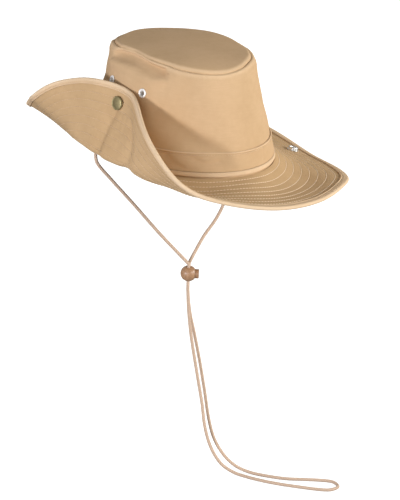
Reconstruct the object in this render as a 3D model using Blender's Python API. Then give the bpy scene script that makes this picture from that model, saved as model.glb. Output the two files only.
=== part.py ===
"""Bush hat of sewn cotton cloth, one side of its brim snapped up to the crown.

The origin is the middle of the head opening, at the seam where crown and brim meet.
+Z is up, the front of the hat is at -Y and the side that is turned up is at -X.
All lengths are metres and all angles are degrees, counted from +X through +Y at the rear.
"""

from math import atan, atan2, ceil, cos, degrees, pi, radians, sin

import bmesh
import bpy
from mathutils import Matrix, Vector

# Clearances
GAP = 0.0003                # between faces that touch on the real hat
SEAM_GAP = 0.0005           # between the crown's foot and the brim's inner edge

# Crown
HEAD_LENGTH = 0.204         # outside of the crown at the seam, front to back
HEAD_WIDTH = 0.161          # outside of the crown at the seam, side to side
TIP_LENGTH = 0.149          # outside at the top before the wall rounds in
TIP_WIDTH = 0.118
CROWN_HEIGHT = 0.094
REAR_DROP = 0.0034          # how much lower the crown's top is at the rear than at the front
CROWN_SWELL = 0.0008        # how far the wall bows out at half height
SHOULDER_HEIGHT = 0.007     # height over which the wall rounds in to the tip seam
SHOULDER_INSET = 0.0022
CROWN_CLOTH = 0.0016
TIP_CLOTH = 0.0016
TIP_DOME = 0.0025           # rise of the tip's middle over its seam

# Band and strip
STRIP_RISE = 0.0018         # height of the strip's foot over the seam
STRIP_HEIGHT = 0.0042
STRIP_CLOTH = 0.0014
BAND_HEIGHT = 0.0165
BAND_CLOTH = 0.0010
BAND_SEAT = 0.0005          # from the wall to the strip and band, over the wall's folds

# Brim
BRIM_WIDTH = 0.0723
BRIM_CLOTH = 0.0018
SEAM_HOLD = 0.0045          # straight width next to the seam, before the cloth bends
TAPE_WIDTH = 0.0065
TAPE_CLOTH = 0.0009

# Snaps
SNAP_INSET_LEFT = 0.014     # from the brim's edge to the closed snap
SNAP_INSET_RIGHT = 0.019    # and to the open one
SNAP_SIDE_LEFT = 182.0      # place round the hat of the closed snap
SNAP_SIDE_RIGHT = -1.0      # and of the open one
CAP_DIAMETER = 0.0130
CAP_THICKNESS = 0.0020
CAP_SEAT = 0.0012           # from the cloth to the cap's flat side, over the cloth's bend
SNAP_STEM_DIAMETER = 0.0040
POST_FLANGE_DIAMETER = 0.0090
POST_FLANGE_THICKNESS = 0.0010
POST_NECK_DIAMETER = 0.0060
POST_SEAT = 0.0015          # from the wall to the post's shoulders, which lie askew to it
STUD_DIAMETER = 0.0115
STUD_HEIGHT = 0.0034
STUD_RIM_WIDTH = 0.0016
STUD_DISH_DEPTH = 0.0018

STUD_NECK = 0.82            # share of its radius where the stud's step goes in
DOME_PROFILE = ((0.94, 0.0), (1.0, 0.35), (0.86, 0.8), (0.4, 1.0))     # shares of radius and thickness
ROUNDED = 0.8               # share of its radius that a small flange keeps on its rounded face

# Eyelets
EYELET_DIAMETER = 0.0088
EYELET_HOLE = 0.0046
EYELET_WALL = 0.0006
EYELET_FLANGE = 0.0007
EYELET_SEAT = 0.0009        # from the wall's inner face to the inner flange, over the wall's bend
EYELET_HEIGHT = 0.0660      # over the seam
EYELET_SIDE_LEFT = 182.0    # middle between the two eyelets of a side
EYELET_SIDE_RIGHT = -2.0
EYELET_SPREAD = 16.0        # degrees from that middle to each eyelet

# Cord and cord lock
CORD_DIAMETER = 0.0031
STRAND_GAP = 0.0003         # between the two strands inside the lock
STRAND_RUN = (0.62, 0.45)   # ends of their straight run, from the ball's middle in ball diameters
BALL_DIAMETER = 0.0154
BALL_CENTRE = (0.0137, -0.0080, -0.1293)
LOCK_TURN = -37.0           # way that the plunger points, degrees from +X
PLUNGER_DIAMETER = 0.0090
PLUNGER_REACH = 0.0100      # outer end from the ball's centre, when let go
PLUNGER_TRAVEL = 0.0018
PLUNGER_END = 0.0013        # wood behind the strands that grips them
PLUNGER_BEVEL = 0.0004
CORD_POINTS = 78

# Mesh fineness
FLAP_COLUMNS = 36           # columns of faces round the turned up side
OPEN_COLUMNS = 24           # columns round the rest of the hat
FLAP_FROM = 100.0
FLAP_TO = 260.0
BRIM_ROWS = 10
WALL_ROWS = 5
HOLE_SIDES = 12
TURNED_SIDES = 16
BALL_SIDES = 18
TIP_ROWS = (0.3, 0.7, 1.0)  # shares of the way from the tip's middle to its seam
SHOULDER_ROW = 0.6          # share of the shoulder's height where it has a row
SHARP_ANGLE = 50.0          # degrees between two faces that meet in a sharp edge

# How finely the shapes are read
READING_STEP = 0.0005       # between two points that give a surface's direction
READING_TURN = 0.5          # the same round the hat, in degrees
SLOPE_STEPS = 60            # steps over the brim's width that add up its slopes
WALL_SEARCH_STEPS = 30      # steps towards the point where a line meets the wall
HOLE_REACH = 3.0            # length of a hole's cutter each way, in thicknesses of cloth

# Sections of the brim, one for each place round the hat.
# Slopes are in degrees, up is positive: where the cloth leaves the seam, where its bend ends,
# and how much that changes again towards the edge. Lean turns the section round the hat.
# The bend's width and the section's own width are shares of the brim's width. The wall share is
# how much of the crown's wall slope is added to the bent slope, for cloth that lies against it.
BRIM_SECTIONS = (
    # name,          angle, seam slope, bent slope, edge change, lean, bend share, width share, wall share
    ("right",             0,        -35,        -14,           0,   -9,       0.75,        1.02,        0.0),
    ("right_rear",       30,        -37,          8,           0,    1,       0.77,        0.99,        0.0),
    ("rear_right",       60,        -26,         28,           0,    6,       0.84,        1.00,        0.0),
    ("rear",             90,         -6,         20,           0,   12,       0.78,        1.00,        0.0),
    ("rear_left",       110,         -9,         20,           0,   17,       0.75,        0.95,        0.0),
    ("horn_rear",       123,        -28,         43,           0,   20,       0.47,        0.96,        0.0),
    ("horn",            136,        -13,         47,           0,   21,       0.30,        0.96,        0.0),
    ("horn_front",      150,         10,         30,           0,    7,       0.31,        0.95,        0.5),
    ("flap_rear",       165,         17,         -8,          -3,  -14,       0.18,        1.01,        1.0),
    ("flap_snap",       180,         14,         10,         -14,   -1,       0.20,        1.06,        1.0),
    ("flap_front",      195,         12,         11,         -13,    6,       0.25,        1.04,        1.0),
    ("flap_end",        210,         -6,         44,          -2,   -2,       0.44,        1.03,        0.5),
    ("roll_out",        225,        -10,         68,           0,   -8,       0.66,        1.01,        0.0),
    ("front_left",      240,        -18,         32,           0,  -13,       0.71,        1.01,        0.0),
    ("front_mid_left",  255,        -12,         14,           0,  -16,       0.83,        0.99,        0.0),
    ("front",           270,        -10,          3,           0,  -12,       0.77,        1.05,        0.0),
    ("front_right",     300,        -32,          7,           0,   -7,       0.73,        0.98,        0.0),
    ("right_tip",       330,        -35,         -7,           0,   -8,       0.67,        1.04,        0.0),
)
EDGE_CHANGE_SHARE = 0.55    # share of the brim's width where the edge change begins

# Dents of the crown's wall, each along a line from one place to another.
# Heights, depth and reach are shares of the crown's height. A quarter of the depth is left
# where the reach ends.
CROWN_FOLDS = (
    # name,        from angle, from height, to angle, to height, depth, reach
    ("tip_edge",          178,        1.00,      212,      1.00, 0.034,  0.17),
    ("upper_dent",        188,        0.88,      212,      0.82, 0.018,  0.09),
    ("long_fold",         212,        0.50,      256,      0.20, 0.022,  0.11),
    ("flap_press",        176,        0.50,      196,      0.56, 0.012,  0.20),
    ("rear_slump",         70,        0.60,      110,      0.48, 0.018,  0.16),
)

# The cord's route, from the left side seam down to the lock. Chosen by hand, in millimetres.
ROUTE_LEFT = (
    (-71.6, 27.0, 10.0),
    (-73.9, 27.0, 1.0),
    (-74.8, 27.0, -7.0),
    (-73.0, 26.0, -15.0),
    (-62.0, 22.5, -29.0),
    (-39.0, 13.0, -57.0),
    (-15.0, 3.0, -87.0),
    (4.5, -6.0, -110.0),
)
# From the lock down to the loose loop's end, along the first strand
ROUTE_DOWN = (
    (12.8, -9.6, -146.0),
    (14.6, -10.2, -167.0),
    (18.0, -12.0, -194.0),
    (24.5, -16.0, -233.0),
    (28.0, -22.0, -263.0),
    (28.6, -28.5, -287.0),
    (32.0, -36.0, -307.0),
    (39.0, -44.0, -322.0),
    (47.0, -54.0, -329.0),
    (53.5, -67.0, -330.0),
    (62.0, -82.0, -330.0),
    (73.0, -97.0, -330.0),
    (85.0, -110.5, -330.0),
    (97.0, -123.0, -330.0),
    (107.5, -130.5, -330.0),
)
# Back from the loop's end up to the lock, along the second strand
ROUTE_BACK = (
    (118.5, -129.0, -330.0),
    (120.5, -118.5, -330.0),
    (112.0, -109.5, -330.0),
    (99.0, -100.0, -330.0),
    (85.0, -90.0, -330.0),
    (73.0, -77.0, -330.0),
    (62.5, -62.0, -329.8),
    (53.5, -50.0, -326.0),
    (45.0, -40.5, -316.0),
    (38.6, -31.0, -300.0),
    (36.6, -23.0, -281.0),
    (35.6, -15.0, -254.0),
    (31.0, -10.0, -222.0),
    (24.6, -7.6, -193.0),
    (19.0, -6.4, -171.0),
    (15.4, -6.3, -149.0),
)
# From the lock up to the right side seam
ROUTE_RIGHT = (
    (22.0, -3.6, -112.5),
    (38.0, 3.0, -99.0),
    (56.0, 9.0, -86.5),
    (66.5, 12.0, -73.0),
    (71.5, 14.0, -52.0),
    (74.0, 16.0, -27.0),
    (75.4, 17.0, -7.0),
    (75.3, 17.0, 1.0),
    (73.1, 17.0, 10.0),
)
ROUTE_STEPS = 12            # samples between two route points when the curve is read
BEND_PULL = 8.0             # cord diameters of extra length that a bend of one radian counts for
MILLIMETRE = 0.001

# Colours, linear
KHAKI = (0.62, 0.43, 0.25)
KHAKI_DARK = (0.52, 0.35, 0.19)
TAPE_TAN = (0.68, 0.48, 0.29)
BRASS = (0.55, 0.42, 0.16)
SILVER = (0.72, 0.72, 0.72)
CORD_SAND = (0.66, 0.49, 0.34)
WOOD = (0.36, 0.19, 0.09)


def clear_scene():
    """Remove every object, so that the script starts from nothing."""
    for item in list(bpy.data.objects):
        bpy.data.objects.remove(item, do_unlink=True)


def make_material(name, colour, roughness, metallic=0.0):
    """Plain surface of one colour."""
    material = bpy.data.materials.new(name)
    material.use_nodes = True
    shader = material.node_tree.nodes["Principled BSDF"]
    shader.inputs["Base Color"].default_value = (*colour, 1.0)
    shader.inputs["Roughness"].default_value = roughness
    shader.inputs["Metallic"].default_value = metallic
    return material


def ease(value):
    """Smooth step from 0 to 1."""
    value = min(1.0, max(0.0, value))
    return value * value * (3.0 - 2.0 * value)


def column_angles():
    """Angles of the mesh columns, closer together round the turned up side."""
    open_from = FLAP_TO - 360.0
    open_step = (FLAP_FROM - open_from) / OPEN_COLUMNS
    flap_step = (FLAP_TO - FLAP_FROM) / FLAP_COLUMNS
    open_side = [open_from + open_step * k for k in range(OPEN_COLUMNS)]
    flap_side = [FLAP_FROM + flap_step * k for k in range(FLAP_COLUMNS)]
    return open_side + flap_side


def round_hat(rows, column, angle):
    """Read a column of the section table at an angle, smoothly and without an end."""
    count = len(rows)
    angle = angle % 360.0
    here = max(k for k in range(count) if rows[k][1] <= angle)

    def place(k):
        turns, row = divmod(k, count)
        return rows[row][1] + 360.0 * turns, rows[row][column]

    (a0, v0), (a1, v1), (a2, v2), (a3, v3) = (place(here + k) for k in (-1, 0, 1, 2))
    step = a2 - a1
    share = (angle - a1) / step
    rate1 = (v2 - v0) / (a2 - a0) * step
    rate2 = (v3 - v1) / (a3 - a1) * step
    square, cube = share ** 2, share ** 3
    return ((2 * cube - 3 * square + 1) * v1 + (cube - 2 * square + share) * rate1
            + (3 * square - 2 * cube) * v2 + (cube - square) * rate2)


def crown_half_sizes(height):
    """Half width and half length of the crown's outside at a height, without its dents."""
    share = height / CROWN_HEIGHT
    swell = CROWN_SWELL * sin(pi * share)
    into_shoulder = max(0.0, 1.0 - (CROWN_HEIGHT - height) / SHOULDER_HEIGHT)
    inset = SHOULDER_INSET * into_shoulder ** 2
    half_width = (HEAD_WIDTH + (TIP_WIDTH - HEAD_WIDTH) * share) / 2 + swell - inset
    half_length = (HEAD_LENGTH + (TIP_LENGTH - HEAD_LENGTH) * share) / 2 + swell - inset
    return half_width, half_length


def dent_depth(angle, height):
    """How far the crown's folds push its wall in at one place."""
    mean_radius = (HEAD_WIDTH + HEAD_LENGTH) / 4
    depth = 0.0
    for _, angle1, share1, angle2, share2, fold_depth, fold_reach in CROWN_FOLDS:
        start = Vector((0.0, share1 * CROWN_HEIGHT))
        line = Vector((radians(angle2 - angle1) * mean_radius, (share2 - share1) * CROWN_HEIGHT))
        away = (angle - angle1 + 180.0) % 360.0 - 180.0
        spot = Vector((radians(away) * mean_radius, height)) - start
        along = min(1.0, max(0.0, spot.dot(line) / line.length_squared))
        distance = (spot - line * along).length
        depth += fold_depth * CROWN_HEIGHT * 0.25 ** (distance / (fold_reach * CROWN_HEIGHT)) ** 2
    return depth


def crown_point(angle, height):
    """Point on the outside of the crown's wall."""
    half_width, half_length = crown_half_sizes(height)
    turn = radians(angle)
    outward = Vector((cos(turn) / half_width, sin(turn) / half_length, 0.0)).normalized()
    drop = REAR_DROP * (height / CROWN_HEIGHT) ** 2 * (1.0 + sin(turn)) / 2
    point = Vector((half_width * cos(turn), half_length * sin(turn), height - drop))
    return point - outward * dent_depth(angle, height)


def crown_normal(angle, height):
    """Outward direction of the crown's wall."""
    sideways = crown_point(angle + READING_TURN, height) - crown_point(angle - READING_TURN, height)
    upward = crown_point(angle, height + READING_STEP) - crown_point(angle, height - READING_STEP)
    return sideways.cross(upward).normalized()


def wall_point(angle, height, lift):
    """Point off the crown's outside by a distance, inside the wall where it is negative."""
    return crown_point(angle, height) + crown_normal(angle, height) * lift


def wall_slope():
    """Slope of the crown's wall at the side of the hat, in degrees."""
    return 90.0 + degrees(atan((HEAD_WIDTH - TIP_WIDTH) / 2 / CROWN_HEIGHT))


def section_slopes(angle):
    """Slope of the brim's cloth as a function of the width from the seam, at one angle."""
    seam, bent, change, bend, against = (round_hat(BRIM_SECTIONS, k, angle) for k in (2, 3, 4, 6, 8))
    bent += against * wall_slope()
    bend_width = bend * BRIM_WIDTH - SEAM_HOLD
    change_width = (1.0 - EDGE_CHANGE_SHARE) * BRIM_WIDTH

    def slope(width):
        turned = (bent - seam) * ease((width - SEAM_HOLD) / bend_width)
        relaxed = change * ease((width - EDGE_CHANGE_SHARE * BRIM_WIDTH) / change_width)
        return radians(seam + turned + relaxed)

    return slope


def brim_point(angle, width):
    """Point in the middle of the brim's cloth, a width away from the seam along the cloth."""
    turn = radians(angle)
    half_width = HEAD_WIDTH / 2
    half_length = HEAD_LENGTH / 2
    heading = atan2(sin(turn) / half_length, cos(turn) / half_width)
    foot = Vector((half_width * cos(turn), half_length * sin(turn), 0.0))
    foot += Vector((cos(heading), sin(heading), 0.0)) * SEAM_GAP
    heading += radians(round_hat(BRIM_SECTIONS, 5, angle))
    slope = section_slopes(angle)
    steps = max(1, ceil(width / BRIM_WIDTH * SLOPE_STEPS))
    step = width / steps
    stretch = round_hat(BRIM_SECTIONS, 7, angle)
    reach = sum(cos(slope((k + 0.5) * step)) for k in range(steps)) * step * stretch
    rise = sum(sin(slope((k + 0.5) * step)) for k in range(steps)) * step * stretch
    return foot + Vector((cos(heading) * reach, sin(heading) * reach, rise))


def brim_frame(angle, width):
    """Middle of the cloth, the way to the edge, and the normal of the brim's upper face."""
    near = max(0.0, width - READING_STEP)
    outward = (brim_point(angle, near + 2 * READING_STEP) - brim_point(angle, near)).normalized()
    sideways = brim_point(angle + READING_TURN, width) - brim_point(angle - READING_TURN, width)
    normal = outward.cross(sideways).normalized()
    return brim_point(angle, width), outward, normal


def brim_surface(angle, width, lift):
    """Point off the middle of the brim's cloth, over its upper face where it is positive."""
    middle, _, normal = brim_frame(angle, width)
    return middle + normal * lift


def skin(name, loops, material, closed):
    """Join matching loops of points into one solid, from last to first loop where closed."""
    bm = bmesh.new()
    rows = [[bm.verts.new(point) for point in loop] for loop in loops]
    pairs = list(zip(rows, rows[1:]))
    if closed:
        pairs.append((rows[-1], rows[0]))
    for low, high in pairs:
        for k in range(len(low)):
            after = (k + 1) % len(low)
            bm.faces.new((low[k], low[after], high[after], high[k]))
    if not closed:
        bm.faces.new(rows[0])
        bm.faces.new(rows[-1])
    bmesh.ops.recalc_face_normals(bm, faces=bm.faces)
    mesh = bpy.data.meshes.new(name)
    bm.to_mesh(mesh)
    bm.free()
    mesh.materials.append(material)
    mesh.shade_smooth()
    mesh.set_sharp_from_angle(angle=radians(SHARP_ANGLE))
    item = bpy.data.objects.new(name, mesh)
    bpy.context.collection.objects.link(item)
    return item


def turned(name, profile, sides, place, material, closed):
    """Turn a profile of (radius, height) pairs about the Z axis of a place."""
    turns = [2 * pi * k / sides for k in range(sides)]
    loops = [[(r * cos(t), r * sin(t), z) for t in turns] for r, z in profile]
    item = skin(name, loops, material, closed)
    item.matrix_world = place
    return item


def facing(point, direction, turn=0.0):
    """Placement at a point with its Z axis along a direction."""
    upright = direction.to_track_quat("Z", "Y").to_matrix().to_4x4()
    return Matrix.Translation(point) @ upright @ Matrix.Rotation(turn, 4, "Z")


def cut_with(item, cutter):
    """Cut one solid with another that is left out of the part."""
    cutter.hide_render = True
    cutter.display_type = "WIRE"
    cut = item.modifiers.new(cutter.name, "BOOLEAN")
    cut.operation = "DIFFERENCE"
    cut.solver = "EXACT"
    cut.object = cutter


def drill(item, name, place, diameter, depth):
    """Cut a round hole whose axis runs both ways from a place."""
    profile = [(diameter / 2, -depth), (diameter / 2, depth)]
    cutter = turned(name, profile, HOLE_SIDES, place, item.data.materials[0], False)
    cut_with(item, cutter)


def strip_top():
    """Height of the upper edge of the narrow strip."""
    return STRIP_RISE + STRIP_HEIGHT


def band_top():
    """Height of the hat band's upper edge."""
    return strip_top() + GAP + BAND_HEIGHT


def wall_heights():
    """Heights of the rows of the crown's wall, at the foot, the band's edges and up."""
    shoulder = CROWN_HEIGHT - SHOULDER_HEIGHT
    step = (shoulder - band_top()) / WALL_ROWS
    rows = [0.0, strip_top()]
    rows += [band_top() + step * k for k in range(WALL_ROWS + 1)]
    return rows + [shoulder + SHOULDER_HEIGHT * SHOULDER_ROW, CROWN_HEIGHT]


def make_crown_side(material):
    """Tapered wall of the crown."""
    angles = column_angles()
    heights = wall_heights()
    outside = [[crown_point(a, h) for a in angles] for h in heights]
    inside = [[wall_point(a, h, -CROWN_CLOTH) for a in angles] for h in reversed(heights)]
    return skin("crown_side", outside + inside, material, True)


def tip_point(angle, share, lift):
    """Point of the flat panel on top, at a share of the way from its middle to its seam."""
    rim = crown_point(angle, CROWN_HEIGHT)
    middle = CROWN_HEIGHT - REAR_DROP / 2
    level = middle + (rim.z - middle) * share
    rise = TIP_DOME * (1.0 - share ** 2)
    return Vector((rim.x * share, rim.y * share, level + GAP + lift + rise))


def make_crown_tip(material):
    """Nearly flat oval panel that closes the crown."""
    angles = column_angles()
    upper = [[tip_point(a, s, TIP_CLOTH) for a in angles] for s in TIP_ROWS]
    under = [[tip_point(a, s, 0.0) for a in angles] for s in reversed(TIP_ROWS)]
    return skin("crown_tip", upper + under, material, False)


def cloth_ring(name, low, high, cloth, material):
    """Ring of cloth that lies on the crown's wall between two heights."""
    angles = column_angles()
    outer = BAND_SEAT + cloth
    corners = ((low, BAND_SEAT), (low, outer), (high, outer), (high, BAND_SEAT))
    loops = [[wall_point(a, h, lift) for a in angles] for h, lift in corners]
    return skin(name, loops, material, True)


def brim_widths():
    """Widths of the brim's rows, closer together near the seam, one where the tape begins."""
    free = BRIM_WIDTH - TAPE_WIDTH - SEAM_HOLD
    rows = BRIM_ROWS - 2
    bent = [SEAM_HOLD + free * (k / rows) ** 1.5 for k in range(rows + 1)]
    return [0.0] + bent + [BRIM_WIDTH]


def make_brim(material):
    """Wide brim, its left side turned up against the crown."""
    angles = column_angles()
    widths = brim_widths()
    half = BRIM_CLOTH / 2
    upper = [[brim_surface(a, w, half) for a in angles] for w in widths]
    under = [[brim_surface(a, w, -half) for a in angles] for w in reversed(widths)]
    return skin("brim", upper + under, material, True)


def tape_point(angle, inward, beyond, lift):
    """Corner of the binding, inward from the brim's edge or beyond it."""
    middle, outward, normal = brim_frame(angle, BRIM_WIDTH - inward)
    return middle + outward * beyond + normal * lift


def make_binding(material):
    """Folded tape over the brim's outer edge."""
    angles = column_angles()
    near = BRIM_CLOTH / 2 + GAP
    far = near + TAPE_CLOTH
    corners = (
        (TAPE_WIDTH, 0.0, near),
        (0.0, GAP, near),
        (0.0, GAP, -near),
        (TAPE_WIDTH, 0.0, -near),
        (TAPE_WIDTH, 0.0, -far),
        (0.0, GAP + TAPE_CLOTH, -far),
        (0.0, GAP + TAPE_CLOTH, far),
        (TAPE_WIDTH, 0.0, far),
    )
    loops = [[tape_point(a, *corner) for a in angles] for corner in corners]
    return skin("brim_binding", loops, material, True)


def make_eyelet(name, angle, crown_side, material):
    """Metal ring through the crown's wall, with a flange on each face."""
    place = facing(crown_point(angle, EYELET_HEIGHT), crown_normal(angle, EYELET_HEIGHT))
    hole = EYELET_HOLE / 2
    neck = hole + EYELET_WALL
    flange = EYELET_DIAMETER / 2
    front = GAP
    back = -(CROWN_CLOTH + EYELET_SEAT)
    profile = (
        (hole, front + EYELET_FLANGE),
        (flange - EYELET_FLANGE / 2, front + EYELET_FLANGE),
        (flange, front),
        (neck, front),
        (neck, back),
        (flange, back),
        (hole, back - EYELET_FLANGE),
    )
    drill(crown_side, name + "_hole", place, 2 * (neck + GAP), HOLE_REACH * CROWN_CLOTH)
    return turned(name, profile, HOLE_SIDES, place, material, True)


def make_eyelets(crown_side, material):
    """Two vent eyelets on each side of the crown."""
    sides = (("left", EYELET_SIDE_LEFT, 1.0), ("right", EYELET_SIDE_RIGHT, -1.0))
    for side, middle, forward in sides:
        make_eyelet(f"eyelet_{side}_front", middle + forward * EYELET_SPREAD, crown_side, material)
        make_eyelet(f"eyelet_{side}_back", middle - forward * EYELET_SPREAD, crown_side, material)


def dome_profile(radius, base, thickness):
    """Low dome with a rounded rim, from its flat side to the middle of its top."""
    return [(radius * out, base + thickness * up) for out, up in DOME_PROFILE]


def snap_place(side, inset):
    """Placement on the middle of the brim's cloth, with +Z over its upper face."""
    middle, _, normal = brim_frame(side, BRIM_WIDTH - inset)
    return facing(middle, normal)


def make_snap_cap(brim, material):
    """Domed cap on the flap's outer face, with its stem in the cloth."""
    place = snap_place(SNAP_SIDE_LEFT, SNAP_INSET_LEFT) @ Matrix.Rotation(pi, 4, "X")
    stem = SNAP_STEM_DIAMETER / 2
    seat = BRIM_CLOTH / 2 + CAP_SEAT
    profile = [(stem, -BRIM_CLOTH / 2), (stem, seat)] + dome_profile(CAP_DIAMETER / 2, seat, CAP_THICKNESS)
    drill(brim, "snap_cap_hole", place, SNAP_STEM_DIAMETER + 2 * GAP, HOLE_REACH * BRIM_CLOTH)
    return turned("snap_cap", profile, TURNED_SIDES, place, material, False)


def make_stud_cap(material):
    """Domed cap under the right brim, behind the open snap half."""
    place = snap_place(SNAP_SIDE_RIGHT, SNAP_INSET_RIGHT) @ Matrix.Rotation(pi, 4, "X")
    profile = dome_profile(CAP_DIAMETER / 2, BRIM_CLOTH / 2 + GAP, CAP_THICKNESS)
    return turned("snap_stud_cap", profile, TURNED_SIDES, place, material, False)


def make_snap_stud(brim, material):
    """Open snap half on the right brim's upper face, with a rim round a dished middle."""
    place = snap_place(SNAP_SIDE_RIGHT, SNAP_INSET_RIGHT)
    stem = SNAP_STEM_DIAMETER / 2
    seat = BRIM_CLOTH / 2 + GAP
    radius = STUD_DIAMETER / 2
    socket = radius * STUD_NECK
    dish = socket - STUD_RIM_WIDTH
    top = seat + STUD_HEIGHT
    profile = (
        (stem, -BRIM_CLOTH / 2),
        (stem, seat),
        (radius, seat),
        (radius, seat + POST_FLANGE_THICKNESS),
        (socket, seat + 2 * POST_FLANGE_THICKNESS),
        (socket, top),
        (dish, top),
        (dish * ROUNDED, top - STUD_DISH_DEPTH),
    )
    drill(brim, "snap_stud_hole", place, SNAP_STEM_DIAMETER + 2 * GAP, HOLE_REACH * BRIM_CLOTH)
    return turned("snap_stud", profile, TURNED_SIDES, place, material, False)


def wall_distance(point, direction):
    """Distance from a point along a direction to the outside of the crown's wall."""
    total = 0.0
    for _ in range(WALL_SEARCH_STEPS):
        spot = point + direction * total
        half_width, half_length = crown_half_sizes(spot.z)
        angle = degrees(atan2(spot.y / half_length, spot.x / half_width))
        total += (spot - crown_point(angle, spot.z)).dot(crown_normal(angle, spot.z))
    return total


def snap_line():
    """Placement of the closed snap, and the distance from it to the crown's wall."""
    place = snap_place(SNAP_SIDE_LEFT, SNAP_INSET_LEFT)
    inward = place.to_3x3().col[2]
    return place, wall_distance(place.translation, inward)


def make_snap_post(crown_side, material):
    """Plain hidden post of the closed snap, from the flap's inner face into the crown."""
    place, to_wall = snap_line()
    start = BRIM_CLOTH / 2 + GAP
    socket = start + POST_FLANGE_THICKNESS
    front = to_wall - POST_SEAT
    back = to_wall + CROWN_CLOTH + POST_SEAT
    flange = POST_FLANGE_DIAMETER / 2
    neck = POST_NECK_DIAMETER / 2
    stem = SNAP_STEM_DIAMETER / 2
    profile = (
        (flange, start),
        (flange, socket),
        (neck, socket),
        (neck, front),
        (stem, front),
        (stem, back),
        (flange, back),
        (flange * ROUNDED, back + POST_FLANGE_THICKNESS),
    )
    hole_place = place @ Matrix.Translation((0.0, 0.0, to_wall))
    drill(crown_side, "snap_post_hole", hole_place, SNAP_STEM_DIAMETER + 2 * GAP, HOLE_REACH * CROWN_CLOTH)
    return turned("snap_post", profile, TURNED_SIDES, place, material, False)


def make_crown_snap(crown_side, material):
    """Snap half on the crown's right side, the mate of the right brim's."""
    left_place, to_wall = snap_line()
    height = (left_place @ Vector((0.0, 0.0, to_wall))).z
    place = facing(crown_point(SNAP_SIDE_RIGHT, height), crown_normal(SNAP_SIDE_RIGHT, height))
    stem = SNAP_STEM_DIAMETER / 2
    flange = POST_FLANGE_DIAMETER / 2
    neck = POST_NECK_DIAMETER / 2
    back = -(CROWN_CLOTH + GAP)
    plate = GAP + POST_FLANGE_THICKNESS
    top = GAP + STUD_HEIGHT
    profile = (
        (flange * ROUNDED, back - POST_FLANGE_THICKNESS),
        (flange, back),
        (stem, back),
        (stem, GAP),
        (flange, GAP),
        (flange, plate),
        (neck * ROUNDED, plate),
        (neck, top - POST_FLANGE_THICKNESS),
        (neck * ROUNDED, top),
    )
    drill(crown_side, "crown_snap_hole", place, SNAP_STEM_DIAMETER + 2 * GAP, HOLE_REACH * CROWN_CLOTH)
    return turned("crown_snap_right", profile, TURNED_SIDES, place, material, False)


def lock_place():
    """Placement of the cord lock, with +X the way that its plunger points."""
    return Matrix.Translation(BALL_CENTRE) @ Matrix.Rotation(radians(LOCK_TURN), 4, "Z")


def strands_width():
    """Width of the two strands side by side in the lock, across the plunger."""
    return 2 * CORD_DIAMETER + STRAND_GAP


def slot_cutter(name, place, length, width, centre, material):
    """Upright slot with rounded ends; its length lies across the plunger."""
    side = (length - width) / 2
    height = BALL_DIAMETER
    quarter = TURNED_SIDES // 2
    arcs = [(pi * k / quarter, side) for k in range(quarter + 1)]
    arcs += [(pi + pi * k / quarter, -side) for k in range(quarter + 1)]
    outline = [(centre + width / 2 * cos(turn), offset + width / 2 * sin(turn)) for turn, offset in arcs]
    loops = [[(x, y, z) for x, y in outline] for z in (-height, height)]
    cutter = skin(name, loops, material, False)
    cutter.matrix_world = place
    return cutter


def box_cutter(name, place, low, high, width, material):
    """Upright box across the plunger, from one distance along it to another."""
    half = width / 2
    height = BALL_DIAMETER
    outline = ((low, -half), (high, -half), (high, half), (low, half))
    loops = [[(x, y, z) for x, y in outline] for z in (-height, height)]
    cutter = skin(name, loops, material, False)
    cutter.matrix_world = place
    return cutter


def along_x(place):
    """The same placement with its Z axis laid along X."""
    return place @ Matrix.Rotation(pi / 2, 4, "Y")


def plunger_inner_end():
    """Distance from the ball's centre to the plunger's inner end."""
    return CORD_DIAMETER / 2 + GAP + PLUNGER_END


def make_ball(material):
    """Wooden ball with an upright slot for the strands and a bore for the plunger."""
    place = lock_place()
    bm = bmesh.new()
    bmesh.ops.create_uvsphere(bm, u_segments=BALL_SIDES, v_segments=BALL_SIDES // 2, radius=BALL_DIAMETER / 2)
    mesh = bpy.data.meshes.new("cord_ball")
    bm.to_mesh(mesh)
    bm.free()
    mesh.materials.append(material)
    mesh.shade_smooth()
    mesh.set_sharp_from_angle(angle=radians(SHARP_ANGLE))
    ball = bpy.data.objects.new("cord_ball", mesh)
    bpy.context.collection.objects.link(ball)
    ball.matrix_world = place
    slot = slot_cutter("ball_slot", place, strands_width() + 2 * GAP, CORD_DIAMETER + 2 * GAP, 0.0, material)
    cut_with(ball, slot)
    bore_end = plunger_inner_end() + PLUNGER_TRAVEL + GAP
    bore = PLUNGER_DIAMETER / 2 + GAP
    bore_profile = [(bore, -bore_end), (bore, BALL_DIAMETER)]
    cut_with(ball, turned("ball_bore", bore_profile, BALL_SIDES, along_x(place), material, False))
    return ball


def make_plunger(material):
    """Sprung plunger of the lock, slotted for the strands along its travel."""
    place = lock_place()
    radius = PLUNGER_DIAMETER / 2
    profile = (
        (radius - PLUNGER_BEVEL, -plunger_inner_end()),
        (radius, -plunger_inner_end() + PLUNGER_BEVEL),
        (radius, PLUNGER_REACH - PLUNGER_BEVEL),
        (radius - PLUNGER_BEVEL, PLUNGER_REACH),
    )
    plunger = turned("cord_plunger", profile, BALL_SIDES, along_x(place), material, False)
    low = -CORD_DIAMETER / 2 - GAP
    high = CORD_DIAMETER / 2 + GAP + PLUNGER_TRAVEL
    slot = box_cutter("plunger_slot", place, low, high, strands_width() + 2 * GAP, material)
    cut_with(plunger, slot)
    return plunger


def strand_points(side):
    """Straight run of one strand through the lock, from above to below."""
    across = Vector((-sin(radians(LOCK_TURN)), cos(radians(LOCK_TURN)), 0.0))
    middle = Vector(BALL_CENTRE) + across * side * (CORD_DIAMETER + STRAND_GAP) / 2
    heights = [*STRAND_RUN, *(-share for share in reversed(STRAND_RUN))]
    return [middle + Vector((0.0, 0.0, h * BALL_DIAMETER)) for h in heights]


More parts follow.
